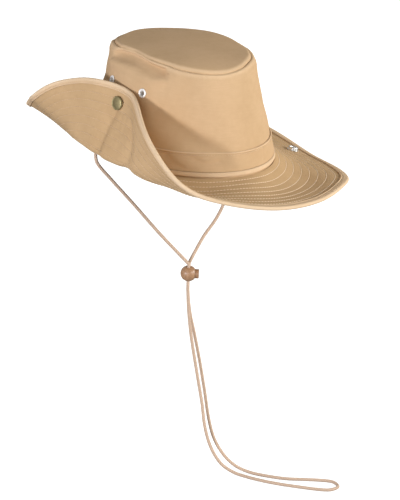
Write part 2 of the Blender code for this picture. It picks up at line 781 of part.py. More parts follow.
def cord_route():
    """All route points of the cord, from the left seam to the right one."""
    tables = (ROUTE_LEFT, ROUTE_DOWN, ROUTE_BACK, ROUTE_RIGHT)
    left, down, back, right = [[Vector(p) * MILLIMETRE for p in rows] for rows in tables]
    return left + strand_points(-1.0) + down + back + strand_points(1.0)[::-1] + right


def smooth_curve(points):
    """Fine samples of a smooth curve through route points."""
    padded = [points[0] * 2 - points[1]] + points + [points[-1] * 2 - points[-2]]
    samples = []
    for p0, p1, p2, p3 in zip(padded, padded[1:], padded[2:], padded[3:]):
        span = (p2 - p1).length
        rate1 = (p2 - p0) * (span / ((p1 - p0).length + span))
        rate2 = (p3 - p1) * (span / ((p3 - p2).length + span))
        for k in range(ROUTE_STEPS):
            t = k / ROUTE_STEPS
            samples.append((2 * t ** 3 - 3 * t ** 2 + 1) * p1 + (t ** 3 - 2 * t ** 2 + t) * rate1
                           + (3 * t ** 2 - 2 * t ** 3) * p2 + (t ** 3 - t ** 2) * rate2)
    return samples + [points[-1]]


def cord_points():
    """Points along the cord, closer together where it bends."""
    samples = smooth_curve(cord_route())
    bend_length = BEND_PULL * CORD_DIAMETER
    measure = [0.0]
    for before, here, after in zip(samples, samples[1:], samples[2:] + samples[-1:]):
        step = (here - before).length
        turn = (here - before).angle(after - here, 0.0) if after != here else 0.0
        measure.append(measure[-1] + step + turn * bend_length)
    points = []
    for k in range(CORD_POINTS):
        goal = measure[-1] * k / (CORD_POINTS - 1)
        after = max(1, next((i for i, m in enumerate(measure) if m >= goal), len(measure) - 1))
        share = (goal - measure[after - 1]) / max(1e-9, measure[after] - measure[after - 1])
        points.append(samples[after - 1].lerp(samples[after], min(1.0, share)))
    return points


def make_cord(material):
    """Round cord in one length, through the lock and back."""
    curve = bpy.data.curves.new("chin_cord", "CURVE")
    curve.dimensions = "3D"
    curve.bevel_depth = CORD_DIAMETER / 2
    curve.bevel_resolution = 2
    curve.render_resolution_u = 0
    curve.use_fill_caps = True
    spline = curve.splines.new("POLY")
    points = cord_points()
    spline.points.add(len(points) - 1)
    for slot, point in zip(spline.points, points):
        slot.co = (*point, 1.0)
    curve.materials.append(material)
    cord = bpy.data.objects.new("chin_cord", curve)
    bpy.context.collection.objects.link(cord)
    return cord


def main():
    """Build the hat."""
    clear_scene()
    khaki = make_material("khaki_twill", KHAKI, 0.9)
    dark_khaki = make_material("brim_twill", KHAKI_DARK, 0.9)
    tape = make_material("binding_tape", TAPE_TAN, 0.85)
    brass = make_material("brass", BRASS, 0.4, 1.0)
    silver = make_material("silver", SILVER, 0.3, 1.0)
    crown_side = make_crown_side(khaki)
    make_crown_tip(khaki)
    cloth_ring("base_strip", STRIP_RISE, strip_top(), STRIP_CLOTH, khaki)
    cloth_ring("hat_band", strip_top() + GAP, band_top(), BAND_CLOTH, khaki)
    brim = make_brim(dark_khaki)
    make_binding(tape)
    make_eyelets(crown_side, silver)
    make_snap_cap(brim, brass)
    make_snap_post(crown_side, silver)
    make_snap_stud(brim, silver)
    make_stud_cap(brass)
    make_crown_snap(crown_side, silver)
    make_cord(make_material("cord_cotton", CORD_SAND, 0.95))
    make_ball(make_material("ball_wood", WOOD, 0.5))
    make_plunger(make_material("plunger_wood", WOOD, 0.5))


main()
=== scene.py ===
"""Looks of a sewn cotton bush hat: cloth, stitching, metal fittings, braided chin cord and wooden lock.

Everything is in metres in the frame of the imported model: +Z up, the hat's front at -Y and the side
that is turned up at -X. Places round the hat are degrees, counted from +X through +Y at the rear.
"""

import logging
import math
from abc import ABC, abstractmethod
from collections.abc import Callable, Sequence
from dataclasses import dataclass, field
from enum import Enum
from functools import cache
from typing import ClassVar

import bmesh
import bpy
import numpy as np
from mathutils import Matrix, Vector


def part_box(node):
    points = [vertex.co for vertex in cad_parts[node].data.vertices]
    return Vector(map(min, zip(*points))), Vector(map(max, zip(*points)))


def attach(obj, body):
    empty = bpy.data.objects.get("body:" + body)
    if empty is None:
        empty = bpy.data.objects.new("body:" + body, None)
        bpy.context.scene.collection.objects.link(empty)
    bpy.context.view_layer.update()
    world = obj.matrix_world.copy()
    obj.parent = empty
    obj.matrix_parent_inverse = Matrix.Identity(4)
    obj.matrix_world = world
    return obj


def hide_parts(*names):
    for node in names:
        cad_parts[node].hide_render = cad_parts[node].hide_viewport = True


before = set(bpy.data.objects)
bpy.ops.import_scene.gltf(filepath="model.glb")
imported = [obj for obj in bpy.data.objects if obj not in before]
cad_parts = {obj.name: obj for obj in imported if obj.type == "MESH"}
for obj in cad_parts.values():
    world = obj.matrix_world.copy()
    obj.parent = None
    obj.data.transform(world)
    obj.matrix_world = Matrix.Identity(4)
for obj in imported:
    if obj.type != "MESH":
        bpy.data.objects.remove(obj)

LOG = logging.getLogger("bush_hat")
MILLIMETRE = 0.001
GAP = 0.0003
WELD = 0.000002
FINE_WELD = 0.000001
SMOOTH = 180.0
SHARP_CLOTH = 55.0
SHARP_TURNED = 40.0
SHARP_CUT = 35.0
STITCH_CORNERS = 3
MIX_COLOURS = slice(6, 8)
MIX_RESULT = 2

Array = np.ndarray
Mesh = bmesh.types.BMesh
Node = bpy.types.Node
Piece = bpy.types.Object
Socket = bpy.types.NodeSocket
Sockets = bpy.types.bpy_prop_collection
Tree = bpy.types.NodeTree
Triple = tuple[float, float, float]
Colour = Triple
Hole = tuple[Vector, float]
Profile = list[tuple[float, float]]
Reading = Callable[[Array, Array], Array]
Lay = Callable[[Array, Array, Array], Array]


class Body(Enum):
    """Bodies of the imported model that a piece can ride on."""

    HAT = "hat"
    PLUNGER = "plunger"


class Slot(Enum):
    """Material slots of the record."""

    KHAKI = "khaki_twill"
    BRIM = "brim_twill"
    TAPE = "binding_tape"
    BRASS = "brass"
    SILVER = "silver"
    CORD = "cord_cotton"
    BALL = "ball_wood"
    PLUNGER = "plunger_wood"


# Form of the hat, read from named sizes

@dataclass(frozen=True)
class Section:
    """Shape of the brim's cloth at one place round the hat.

    Slopes are degrees. The bend and the width are shares of the brim's width, and the wall share is
    how much of the crown's wall slope is added to the bent slope.
    """

    name: str
    angle: float
    seam_slope: float
    bent_slope: float
    edge_change: float
    lean: float
    bend: float
    width: float
    wall: float


BRIM_SECTIONS = (
    Section("right", 0, -35, -14, 0, -9, 0.75, 1.02, 0.0),
    Section("right_rear", 30, -37, 8, 0, 1, 0.77, 0.99, 0.0),
    Section("rear_right", 60, -26, 28, 0, 6, 0.84, 1.00, 0.0),
    Section("rear", 90, -6, 20, 0, 12, 0.78, 1.00, 0.0),
    Section("rear_left", 110, -9, 20, 0, 17, 0.75, 0.95, 0.0),
    Section("horn_rear", 123, -28, 43, 0, 20, 0.47, 0.945, 0.0),
    Section("horn", 136, -13, 47, 0, 21, 0.30, 0.95, 0.0),
    Section("horn_front", 150, 10, 30, 0, 7, 0.31, 0.95, 0.5),
    Section("flap_rear", 165, 17, -8, -3, -14, 0.18, 1.01, 1.0),
    Section("flap_snap", 180, 14, 10, -14, -1, 0.20, 1.06, 1.0),
    Section("flap_front", 195, 12, 11, -13, 6, 0.25, 1.04, 1.0),
    Section("flap_end", 210, -6, 44, -2, -2, 0.44, 1.03, 0.5),
    Section("roll_out", 225, -10, 68, 0, -8, 0.66, 1.01, 0.0),
    Section("front_left", 240, -18, 32, 0, -13, 0.71, 1.01, 0.0),
    Section("front_mid_left", 255, -12, 14, 0, -16, 0.83, 0.99, 0.0),
    Section("front", 270, -10, 3, 0, -12, 0.77, 1.05, 0.0),
    Section("front_right", 300, -32, 7, 0, -7, 0.73, 0.98, 0.0),
    Section("right_tip", 330, -35, -7, 0, -8, 0.67, 1.04, 0.0),
)


@dataclass(frozen=True)
class Fold:
    """Dent along a line of places, each an angle and a share of the cloth's height or width.

    Depth and reach are shares of that height or width too. A quarter of the depth is left where the
    reach ends. Left and right are as seen from outside the hat by one who walks along the line.
    """

    name: str
    route: tuple[tuple[float, float], ...]
    depth: float
    left: float
    right: float

    def depth_at(self, angles: Array, shares: Array, roundness: float) -> Array:
        """Depth of the dent as a share of the cloth's height.

        Args:
            angles: Places round the hat in degrees.
            shares: Places up the cloth, as shares of its height.
            roundness: Length of one degree round the hat, as a share of the cloth's height.

        Returns:
            The depth at each place.
        """
        x = away_from(angles, self.route[0][0]) * roundness
        y = shares
        corners = [((a - self.route[0][0]) * roundness, s) for a, s in self.route]
        nearest = np.full(np.broadcast(x, y).shape, np.inf)
        over = np.zeros(nearest.shape)
        for (x0, y0), (x1, y1) in zip(corners, corners[1:]):
            run, rise = x1 - x0, y1 - y0
            part = np.clip(((x - x0) * run + (y - y0) * rise) / (run * run + rise * rise), 0.0, 1.0)
            gap_x = x - x0 - part * run
            gap_y = y - y0 - part * rise
            distance = np.hypot(gap_x, gap_y)
            closer = distance < nearest
            nearest = np.where(closer, distance, nearest)
            over = np.where(closer, gap_y * run - gap_x * rise, over)
        reach = np.where(over > 0.0, self.left, self.right)
        return self.depth * 0.25 ** (nearest / reach) ** 2


@dataclass(frozen=True)
class Wave:
    """Slow undulation of the cloth, as the hand of the cloth leaves it."""

    turns: int
    ridges: float
    height: float
    start: float

    def lift(self, angles: Array, shares: Array | float) -> Array:
        """Lift at places round the hat and up the cloth."""
        phase = np.radians(angles) * self.turns + shares * self.ridges * math.tau + self.start
        return self.height * np.sin(phase)


class ClothSurface:
    """Sheet of cloth round the hat, read smoothly between the points of a fine net.

    The net's first axis runs round the hat and closes, its second from one edge to the other.
    """

    def __init__(self, net: Array, low: float, high: float, side: float = 1.0) -> None:
        """Keep the net and work out its normals.

        Args:
            net: Points, as columns round the hat by rows across the cloth by three.
            low: Distance along the cloth of the first row.
            high: Distance along the cloth of the last row.
            side: 1 where the outer face is to the left of the way to the last row, or -1.
        """
        self.net = net
        self.low = low
        self.high = high
        around = np.roll(net, -1, axis=0) - np.roll(net, 1, axis=0)
        along = np.gradient(net, axis=1)
        normals = np.cross(along, around) * side
        self.normals = normals / np.linalg.norm(normals, axis=2, keepdims=True)
        self.side = side

    def points(self, angles: Array, along: Array, lift: Array | float = 0.0) -> Array:
        """Points off the sheet.

        Args:
            angles: Places round the hat in degrees.
            along: Distances along the cloth; past an edge the sheet goes on straight.
            lift: Distances off the sheet, outwards where positive.

        Returns:
            The points, with a last axis of three.
        """
        middle, normal = self.read(angles, along)
        return middle + normal * np.asarray(lift)[..., None]

    def read(self, angles: Array, along: Array) -> tuple[Array, Array]:
        """Points on the sheet and its normals at places round and along it.

        Args:
            angles: Places round the hat in degrees.
            along: Distances along the cloth.

        Returns:
            The points and the normals, each with a last axis of three.
        """
        columns, rows, _ = self.net.shape
        turn = np.asarray(angles, float) / 360.0 * columns
        step = (np.asarray(along, float) - self.low) / (self.high - self.low) * (rows - 1)
        turn, step = np.broadcast_arrays(turn, step)
        left = np.floor(turn).astype(int)
        lower = np.clip(np.floor(step).astype(int), 0, rows - 2)
        right_share = (turn - left)[..., None]
        upper_share = (step - lower)[..., None]

        def mixed(table: Array) -> Array:
            """Read one table between its four nearest entries.

            Args:
                table: Values at the points of the net.

            Returns:
                The values at the places that are read.
            """
            here, there = (table[column, lower] * (1 - upper_share) + table[column, lower + 1] * upper_share
                           for column in (left % columns, (left + 1) % columns))
            return here * (1 - right_share) + there * right_share

        normal = mixed(self.normals)
        return mixed(self.net), normal / np.linalg.norm(normal, axis=-1, keepdims=True)

    def pressed(self, depth: Reading) -> "ClothSurface":
        """The same sheet, pushed in by a depth that is read at each place.

        Args:
            depth: Gives the depth at an angle and a distance along.

        Returns:
            The pressed sheet.
        """
        columns, rows, _ = self.net.shape
        depths = depth(round_hat(columns), np.linspace(self.low, self.high, rows)[None, :])
        return ClothSurface(self.net - self.normals * depths[..., None], self.low, self.high, self.side)

    def placement(self, angle: float, along: float, side: float = 1.0) -> Matrix:
        """Placement on the sheet with +Z out of one of its faces."""
        middle, normal = self.read(np.array(angle), np.array(along))
        return facing(Vector(middle), Vector(normal) * side)


def round_hat(columns: int, closed: bool = False) -> Array:
    """Even angles round the hat in degrees, in a column; where it is closed, with 360 at its end."""
    return np.arange(columns + closed)[:, None] / columns * 360.0


def away_from(angles: Array, angle: float) -> Array:
    """Degrees from an angle, the shorter way round."""
    return (angles - angle + 180.0) % 360.0 - 180.0


def hump(distance: Array | float, spread: float) -> Array | float:
    """Bell of height 1 round a distance of zero."""
    return np.exp(-(distance / spread) ** 2)


def eased(values: Array) -> Array:
    """Smooth step from 0 to 1."""
    values = np.clip(values, 0.0, 1.0)
    return values * values * (3.0 - 2.0 * values)


def curve(share: float, ends: Sequence[float | Vector], rates: Sequence[float | Vector]) -> float | Vector:
    """Smooth way from one value to another.

    Args:
        share: Share of the way.
        ends: The two values.
        rates: How fast the curve changes at each of them, over the whole way.

    Returns:
        The value at that share.
    """
    square, cube = share ** 2, share ** 3
    return ((2 * cube - 3 * square + 1) * ends[0] + (cube - 2 * square + share) * rates[0]
            + (3 * square - 2 * cube) * ends[1] + (cube - square) * rates[1])


def way_along(points: Array) -> Array:
    """Length of the way along a line, up to each of its points."""
    return np.concatenate([[0.0], np.cumsum(np.linalg.norm(np.diff(points, axis=0), axis=1))])


def laid(x: Array, y: Array) -> Array:
    """Places on the flat cloth, from their two coordinates."""
    return np.stack(np.broadcast_arrays(x, y), axis=-1)


def read_round(rows: Sequence[Section], size: str, angle: float) -> float:
    """Read one size of the sections at an angle, smoothly and without an end.

    Args:
        rows: The sections, in order round the hat.
        size: Name of the size.
        angle: Place round the hat in degrees.

    Returns:
        The size there.
    """
    count = len(rows)
    angle = angle % 360.0
    here = max(k for k in range(count) if rows[k].angle <= angle)
    near = []
    for k in range(here - 1, here + 3):
        turns, row = divmod(k, count)
        near.append((rows[row].angle + 360.0 * turns, getattr(rows[row], size)))
    (a0, v0), (a1, v1), (a2, v2), (a3, v3) = near
    step = a2 - a1
    rates = ((v2 - v0) / (a2 - a0) * step, (v3 - v1) / (a3 - a1) * step)
    return curve((angle - a1) / step, (v1, v2), rates)


@dataclass(frozen=True)
class HatForm:
    """Driving sizes of the hat's cloth, and the sheets that they give."""

    head_length: float = 0.204
    head_width: float = 0.161
    tip_length: float = 0.149
    tip_width: float = 0.118
    crown_height: float = 0.094
    rear_drop: float = 0.0034
    swell: float = 0.0008
    shoulder_height: float = 0.007
    shoulder_inset: float = 0.0022
    rim_rises: tuple[Triple, ...] = ((164, 46, 0.0036), (30, 60, 0.0022), (258, 38, -0.0046))
    brim_width: float = 0.0723
    wall_foot: float = -0.002
    plain_foot: float = 0.14
    crease_ease: float = 0.22
    brim_ease: float = 0.2
    seam_gap: float = 0.0005
    seam_hold: float = 0.0045
    edge_change_share: float = 0.55
    columns: int = 720
    rows: int = 145
    section_blend: float = 4.0
    folds: tuple[Fold, ...] = (
        Fold("tip_edge", ((178, 1.00), (212, 1.00)), 0.034, 0.17, 0.17),
        Fold("upper_dent", ((188, 0.88), (212, 0.82)), 0.018, 0.09, 0.09),
        Fold("long_fold", ((212, 0.50), (256, 0.20)), 0.022, 0.11, 0.11),
        Fold("flap_press", ((176, 0.50), (196, 0.56)), 0.012, 0.20, 0.20),
        Fold("rear_slump", ((70, 0.60), (110, 0.48)), 0.018, 0.16, 0.16),
    )
    creases: tuple[Fold, ...] = (
        Fold("upper_crease", ((162, 0.960), (176, 0.970), (186, 0.968), (195, 0.955), (205, 0.942),
                              (211, 0.940)), 0.058, 0.030, 0.062),
        Fold("upper_ridge", ((160, 0.87), (176, 0.89), (186, 0.885), (195, 0.865), (203, 0.850),
                             (211, 0.87)), -0.040, 0.028, 0.080),
        Fold("long_crease", ((206, 0.58), (217, 0.54), (226, 0.48), (237, 0.41), (247, 0.35),
                             (254, 0.28), (260, 0.20)), 0.005, 0.040, 0.17),
        Fold("left_shoulder", ((136, 0.97), (160, 0.97)), -0.022, 0.06, 0.09),
        Fold("left_hollow", ((132, 0.60), (156, 0.58)), 0.032, 0.16, 0.16),
        Fold("right_shoulder", ((305, 0.95), (340, 0.95)), -0.012, 0.05, 0.10),
        Fold("right_pull", ((300, 0.70), (322, 0.50), (330, 0.30)), 0.006, 0.06, 0.10),
        Fold("rear_crease", ((60, 0.72), (84, 0.60), (104, 0.63)), 0.010, 0.035, 0.12),
        Fold("rear_left_crease", ((118, 0.40), (140, 0.52), (158, 0.50)), 0.010, 0.04, 0.10),
    )
    waves: tuple[Wave, ...] = (
        Wave(3, 0.6, 0.0035, 0.4),
        Wave(8, 1.3, 0.0022, 1.9),
        Wave(15, 2.1, 0.0012, 4.1),
    )
    flap_creases: tuple[Fold, ...] = (
        Fold("snap_crease", ((178, 0.10), (178, 0.33), (179, 0.53), (180, 0.70)), -0.055, 0.10, 0.07),
        Fold("front_crease", ((198, 0.06), (202, 0.39), (202, 0.53), (198, 0.64)), -0.042, 0.06, 0.10),
        Fold("pucker_rear", ((187, 0.50), (186, 0.68)), 0.009, 0.022, 0.020),
        Fold("pucker_front", ((191, 0.52), (190, 0.72)), 0.011, 0.025, 0.020),
        Fold("pucker_low", ((190, 0.30), (189, 0.44)), 0.006, 0.025, 0.020),
    )
    brim_waves: tuple[Wave, ...] = (
        Wave(5, 0.4, 0.0060, 0.9),
        Wave(11, 0.8, 0.0035, 2.7),
    )

    @property
    def mean_radius(self) -> float:
        """Mean radius of the seam."""
        return (self.head_width + self.head_length) / 4

    def flat_wall(self, angles: Array, walked: Array, along: Array) -> Array:
        """Place on a strip that is cut straight along the cloth."""
        return laid(np.radians(angles) * self.mean_radius, walked)

    def flat_brim(self, angles: Array, walked: Array, along: Array) -> Array:
        """Place on a ring that is cut from flat cloth."""
        radius, turn = self.mean_radius + along, np.radians(angles)
        return laid(radius * np.cos(turn), radius * np.sin(turn))

    def half_sizes(self, heights: Array) -> tuple[Array, Array]:
        """Half width and half length of the crown's outside at a height, without its dents.

        Args:
            heights: Heights on the wall.

        Returns:
            Half the width and half the length there.
        """
        share = heights / self.crown_height
        swell = self.swell * np.sin(math.pi * share)
        into_shoulder = np.maximum(0.0, 1.0 - (self.crown_height - heights) / self.shoulder_height)
        inset = self.shoulder_inset * into_shoulder ** 2
        half_width = (self.head_width + (self.tip_width - self.head_width) * share) / 2 + swell - inset
        half_length = (self.head_length + (self.tip_length - self.head_length) * share) / 2 + swell - inset
        return half_width, half_length

    def wall_depth(self, angles: Array, heights: Array) -> Array:
        """How far the crown's folds and slow waves push its wall in.

        Args:
            angles: Places round the hat in degrees.
            heights: Heights on the wall.

        Returns:
            The depth at each place.
        """
        degree = math.radians(1.0) * self.mean_radius / self.crown_height
        shares = heights / self.crown_height
        depth = sum(fold.depth_at(angles, shares, degree) for fold in self.folds)
        fading = eased((shares - self.plain_foot) / self.crease_ease)
        fine = sum(fold.depth_at(angles, shares, degree) for fold in self.creases)
        fine = fine + sum(wave.lift(angles, shares) for wave in self.waves)
        return (depth + fine * fading) * self.crown_height

    def wall(self) -> ClothSurface:
        """Outside of the crown's wall, from a little under its foot to its top edge.

        Returns:
            The sheet.
        """
        angles = round_hat(self.columns)
        heights = np.linspace(self.wall_foot, self.crown_height, self.rows)[None, :]
        half_width, half_length = self.half_sizes(heights)
        turn = np.radians(angles)
        outward = np.stack([np.cos(turn) / half_width, np.sin(turn) / half_length], axis=-1)
        outward /= np.linalg.norm(outward, axis=-1, keepdims=True)
        drop = self.rear_drop * (heights / self.crown_height) ** 2 * (1.0 + np.sin(turn)) / 2
        for angle, spread, rise in self.rim_rises:
            drop = drop - rise * (heights / self.crown_height) ** 3 * hump(away_from(angles, angle), spread)
        depth = self.wall_depth(angles, heights)
        net = np.stack([
            half_width * np.cos(turn) - outward[..., 0] * depth,
            half_length * np.sin(turn) - outward[..., 1] * depth,
            heights - drop,
        ], axis=-1)
        return ClothSurface(net, self.wall_foot, self.crown_height, -1.0)

    def wall_slope(self) -> float:
        """Slope of the crown's wall at the side of the hat, in degrees."""
        return 90.0 + math.degrees(math.atan((self.head_width - self.tip_width) / 2 / self.crown_height))

    def section_sizes(self) -> list[Array]:
        """Each size of the sections at every column, blended a little round the hat.

        Returns:
            The sizes, each as one column of values.
        """
        angles = round_hat(self.columns)[:, 0]
        weights = hump(np.minimum(angles, 360.0 - angles), self.section_blend)
        weights = np.fft.rfft(weights / weights.sum())
        sizes = []
        for size in ("seam_slope", "bent_slope", "edge_change", "bend", "wall", "width", "lean"):
            values = [read_round(BRIM_SECTIONS, size, angle) for angle in angles]
            sizes.append(np.fft.irfft(np.fft.rfft(values) * weights, self.columns)[:, None])
        return sizes

    def brim_net(self) -> Array:
        """Points of the brim's middle from its seam to its edge, at every column.

        Returns:
            The points, as columns by rows by three.
        """
        width = self.brim_width
        step = width / (self.rows - 1)
        middles = (np.arange(self.rows - 1)[None, :] + 0.5) * step
        seam, bent, change, bend, against, stretch, lean = self.section_sizes()
        bent = bent + against * self.wall_slope()
        turned = (bent - seam) * eased((middles - self.seam_hold) / (bend * width - self.seam_hold))
        edge_from = self.edge_change_share * width
        slopes = np.radians(seam + turned + change * eased((middles - edge_from) / (width - edge_from)))
        reach, rise = (np.pad(np.cumsum(part(slopes), axis=1), ((0, 0), (1, 0))) * step * stretch
                       for part in (np.cos, np.sin))
        turn = np.radians(round_hat(self.columns))
        half_width, half_length = self.head_width / 2, self.head_length / 2
        heading = np.arctan2(np.sin(turn) / half_length, np.cos(turn) / half_width)
        foot_x = half_width * np.cos(turn) + self.seam_gap * np.cos(heading)
        foot_y = half_length * np.sin(turn) + self.seam_gap * np.sin(heading)
        heading = heading + np.radians(lean)
        return np.stack([foot_x + np.cos(heading) * reach, foot_y + np.sin(heading) * reach, rise], axis=-1)

    def brim_depth(self, angles: Array, widths: Array) -> Array:
        """How far the brim's creases and slow waves push its middle down from its upper face.

        Args:
            angles: Places round the hat in degrees.
            widths: Distances from the seam.

        Returns:
            The depth at each place.
        """
        shares = widths / self.brim_width
        degree = math.radians(1.0) * self.head_width / 2 / self.brim_width
        depth = sum(fold.depth_at(angles, shares, degree) for fold in self.flap_creases)
        depth = depth + sum(wave.lift(angles, shares) for wave in self.brim_waves)
        return depth * eased(shares / self.brim_ease) * self.brim_width

    def brim(self) -> ClothSurface:
        """Middle of the brim's cloth, from its seam to its edge, with its creases."""
        return ClothSurface(self.brim_net(), 0.0, self.brim_width).pressed(self.brim_depth)


# Meshes that start from a grid or a profile

@dataclass
class Outline:
    """Outline of a sewn piece across its cloth, as distance along, lift and share of painted highlight of
    each corner.
    """

    corners: list[Triple] = field(default_factory=list)

    def go(self, along: float, lift: float, painted_light_share: float = 0.0) -> "Outline":
        """Add one corner."""
        self.corners.append((along, lift, painted_light_share))
        return self

    def face(self, start: float, end: float, steps: int, lift: Callable[[float], float],
             painted_light_share: Callable[[float], float] = lambda along: 0.0) -> "Outline":
        """Add a face of the cloth in even steps, with a lift and a share of painted highlight that vary along
        it.

        Args:
            start: Distance along at its start.
            end: Distance along at its end.
            steps: How many steps it has.
            lift: Gives the lift at a distance along.
            painted_light_share: Gives the share of painted highlight at a distance along.

        Returns:
            The outline itself.
        """
        for k in range(steps + 1):
            along = start + (end - start) * k / steps
            self.go(along, lift(along), painted_light_share(along))
        return self

    def closed(self) -> Array:
        """Distance along, lift and share of painted highlight of the corners, and of the first one again."""
        return np.array(self.corners + self.corners[:1]).T


def shade(mesh: bpy.types.Mesh, sharp: float) -> None:
    """Shade a mesh smooth, apart from its edges of more than an angle in degrees."""
    mesh.shade_smooth()
    mesh.set_sharp_from_angle(angle=math.radians(sharp))


def finished_object(name: str, bm: Mesh, sharp: float = SHARP_CLOTH) -> Piece:
    """Turn a bmesh into a smooth shaded object at the origin.

    Args:
        name: Name of the piece.
        bm: The mesh under work; it is freed.
        sharp: Angle in degrees from which an edge stays sharp.

    Returns:
        The linked object.
    """
    mesh = bpy.data.meshes.new(name)
    bm.to_mesh(mesh)
    bm.free()
    shade(mesh, sharp)
    piece = bpy.data.objects.new(name, mesh)
    bpy.context.scene.collection.objects.link(piece)
    return piece


def welded_object(name: str, bm: Mesh, sharp: float = SHARP_CLOTH) -> Piece:
    """Close the seams of a bmesh, turn its faces outwards and make its object.

    Args:
        name: Name of the piece.
        bm: The mesh under work; it is freed.
        sharp: Angle in degrees from which an edge stays sharp.

    Returns:
        The linked object.
    """
    bmesh.ops.remove_doubles(bm, verts=bm.verts, dist=WELD)
    bmesh.ops.recalc_face_normals(bm, faces=bm.faces)
    return finished_object(name, bm, sharp)


def add_sheet(bm: Mesh, points: Array, flat: Array, painted_light_share: Array) -> None:
    """Add a grid and lay its corners on points.

    Args:
        bm: Mesh that the sheet is added to.
        points: Places of the corners, as columns by rows by three.
        flat: Where each corner lies on the flat cloth in metres, as columns by rows by two.
        painted_light_share: Share of painted light at each corner, from 0 to 1: painted highlight on the
            cloth, painted shade between braid strands.
    """
    columns, rows = points.shape[0] - 1, points.shape[1] - 1
    cloth = bm.loops.layers.uv.get("cloth") or bm.loops.layers.uv.new("cloth")
    painted_light = bm.verts.layers.float.get("painted_light_share") or bm.verts.layers.float.new("painted_light_share")
    made = bmesh.ops.create_grid(bm, x_segments=columns, y_segments=rows, size=0.5)["verts"]
    places = {}
    for corner in made:
        i = round((corner.co.x + 0.5) * columns)
        j = round((corner.co.y + 0.5) * rows)
        places[corner] = (i, j)
        corner.co = points[i, j]
        corner[painted_light] = painted_light_share[i, j]
    for face in {face for corner in made for face in corner.link_faces}:
        for loop in face.loops:
            loop[cloth].uv = flat[places[loop.vert]]


def sewn_piece(name: str, surface: ClothSurface, outline: Outline, columns: int, flat: Lay,
               extra: Reading | None = None, holes: Sequence[Hole] = ()) -> Piece:
    """Run an outline round the hat on a sheet, as one closed piece of cloth.

    Args:
        name: Name of the piece.
        surface: Sheet that the outline's distances and lifts are measured on.
        outline: The outline across the cloth.
        columns: Steps round the hat.
        flat: Gives the place on the flat cloth from angle, distance walked and distance along.
        extra: Added to the lift of the outer face at each angle and distance along.
        holes: Middles and radii of round holes through the piece.

    Returns:
        The new object.
    """
    along, lift, painted_light_share = outline.closed()
    angles = round_hat(columns, closed=True)
    lifts = np.broadcast_to(lift[None, :], (columns + 1, len(lift))).copy()
    if extra is not None:
        lifts += extra(angles, along[None, :])
    points = surface.points(angles, along[None, :], lifts)
    walked = way_along(np.stack([along, lift], axis=-1))
    bm = bmesh.new()
    add_sheet(bm, points, flat(angles, walked[None, :], along[None, :]), np.broadcast_to(painted_light_share, lifts.shape))
    bmesh.ops.remove_doubles(bm, verts=bm.verts, dist=WELD)
    for middle, radius in holes:
        open_hole(bm, middle, radius)
    bmesh.ops.recalc_face_normals(bm, faces=bm.faces)
    return finished_object(name, bm)


def open_hole(bm: Mesh, middle: Vector, radius: float) -> None:
    """Open a round hole in a cloth piece through both of its faces, and close its rim.

    Args:
        bm: Mesh of the cloth.
        middle: Point in the middle of the hole.
        radius: Radius of the hole.
    """
    inside = [face for face in bm.faces if (face.calc_center_median() - middle).length < radius * 1.05]
    bmesh.ops.delete(bm, geom=inside, context="FACES")
    rim = [edge for edge in bm.edges if edge.is_boundary and (edge.verts[0].co - middle).length < radius * 3]
    for corner in dict.fromkeys(corner for edge in rim for corner in edge.verts):
        away = corner.co - middle
        side = away - away.project(middle_normal(corner))
        corner.co += side.normalized() * (radius - side.length)
    if rim:
        bmesh.ops.bridge_loops(bm, edges=rim)


def middle_normal(corner: bmesh.types.BMVert) -> Vector:
    """Mean normal of the faces that are left round a corner.

    Args:
        corner: The corner.

    Returns:
        The normal, of length 1.
    """
    total = Vector()
    for face in corner.link_faces:
        face.normal_update()
        total += face.normal
    return total.normalized()


def turned_piece(name: str, profile: Profile, place: Matrix, steps: int = 40) -> Piece:
    """Spin a profile of radii and heights round the Z axis of a place.

    Args:
        name: Name of the piece.
        profile: Pairs of radius and height, walked once round.
        place: Where the axis lies.
        steps: Steps of the turn.

    Returns:
        The new object.
    """
    bm = bmesh.new()
    corners = [bm.verts.new((radius, 0.0, height)) for radius, height in profile]
    edges = [bm.edges.new(pair) for pair in zip(corners, corners[1:])]
    bmesh.ops.spin(bm, geom=corners + edges, axis=(0, 0, 1), cent=(0, 0, 0), angle=math.tau, steps=steps,
                   use_merge=True)
    bmesh.ops.remove_doubles(bm, verts=bm.verts, dist=FINE_WELD)
    bmesh.ops.recalc_face_normals(bm, faces=bm.faces)
    bmesh.ops.transform(bm, matrix=place, verts=bm.verts)
    return finished_object(name, bm, SHARP_TURNED)


def arc(centre: tuple[float, float], radius: float, start: float, end: float, steps: int = 5) -> Profile:
    """Corners of a round stretch of a profile, between two angles in degrees."""
    turns = [math.radians(start + (end - start) * k / steps) for k in range(steps + 1)]
    return [(centre[0] + radius * math.cos(t), centre[1] + radius * math.sin(t)) for t in turns]


def facing(point: Vector, direction: Vector) -> Matrix:
    """Placement at a point with its Z axis along a direction."""
    return Matrix.Translation(point) @ direction.to_track_quat("Z", "Y").to_matrix().to_4x4()


def cut_away(piece: Piece, cutter: Piece) -> None:
    """Cut a piece with another, which is used up.

    Args:
        piece: The piece.
        cutter: Its cutter, which is removed.
    """
    cut = piece.modifiers.new("cut", "BOOLEAN")
    cut.solver = "EXACT"
    cut.object = cutter
    shown = bpy.context.evaluated_depsgraph_get()
    shown.update()
    mesh = bpy.data.meshes.new_from_object(piece.evaluated_get(shown))
    piece.modifiers.clear()
    piece.data = mesh
    bpy.data.objects.remove(cutter)
    shade(mesh, SHARP_CUT)


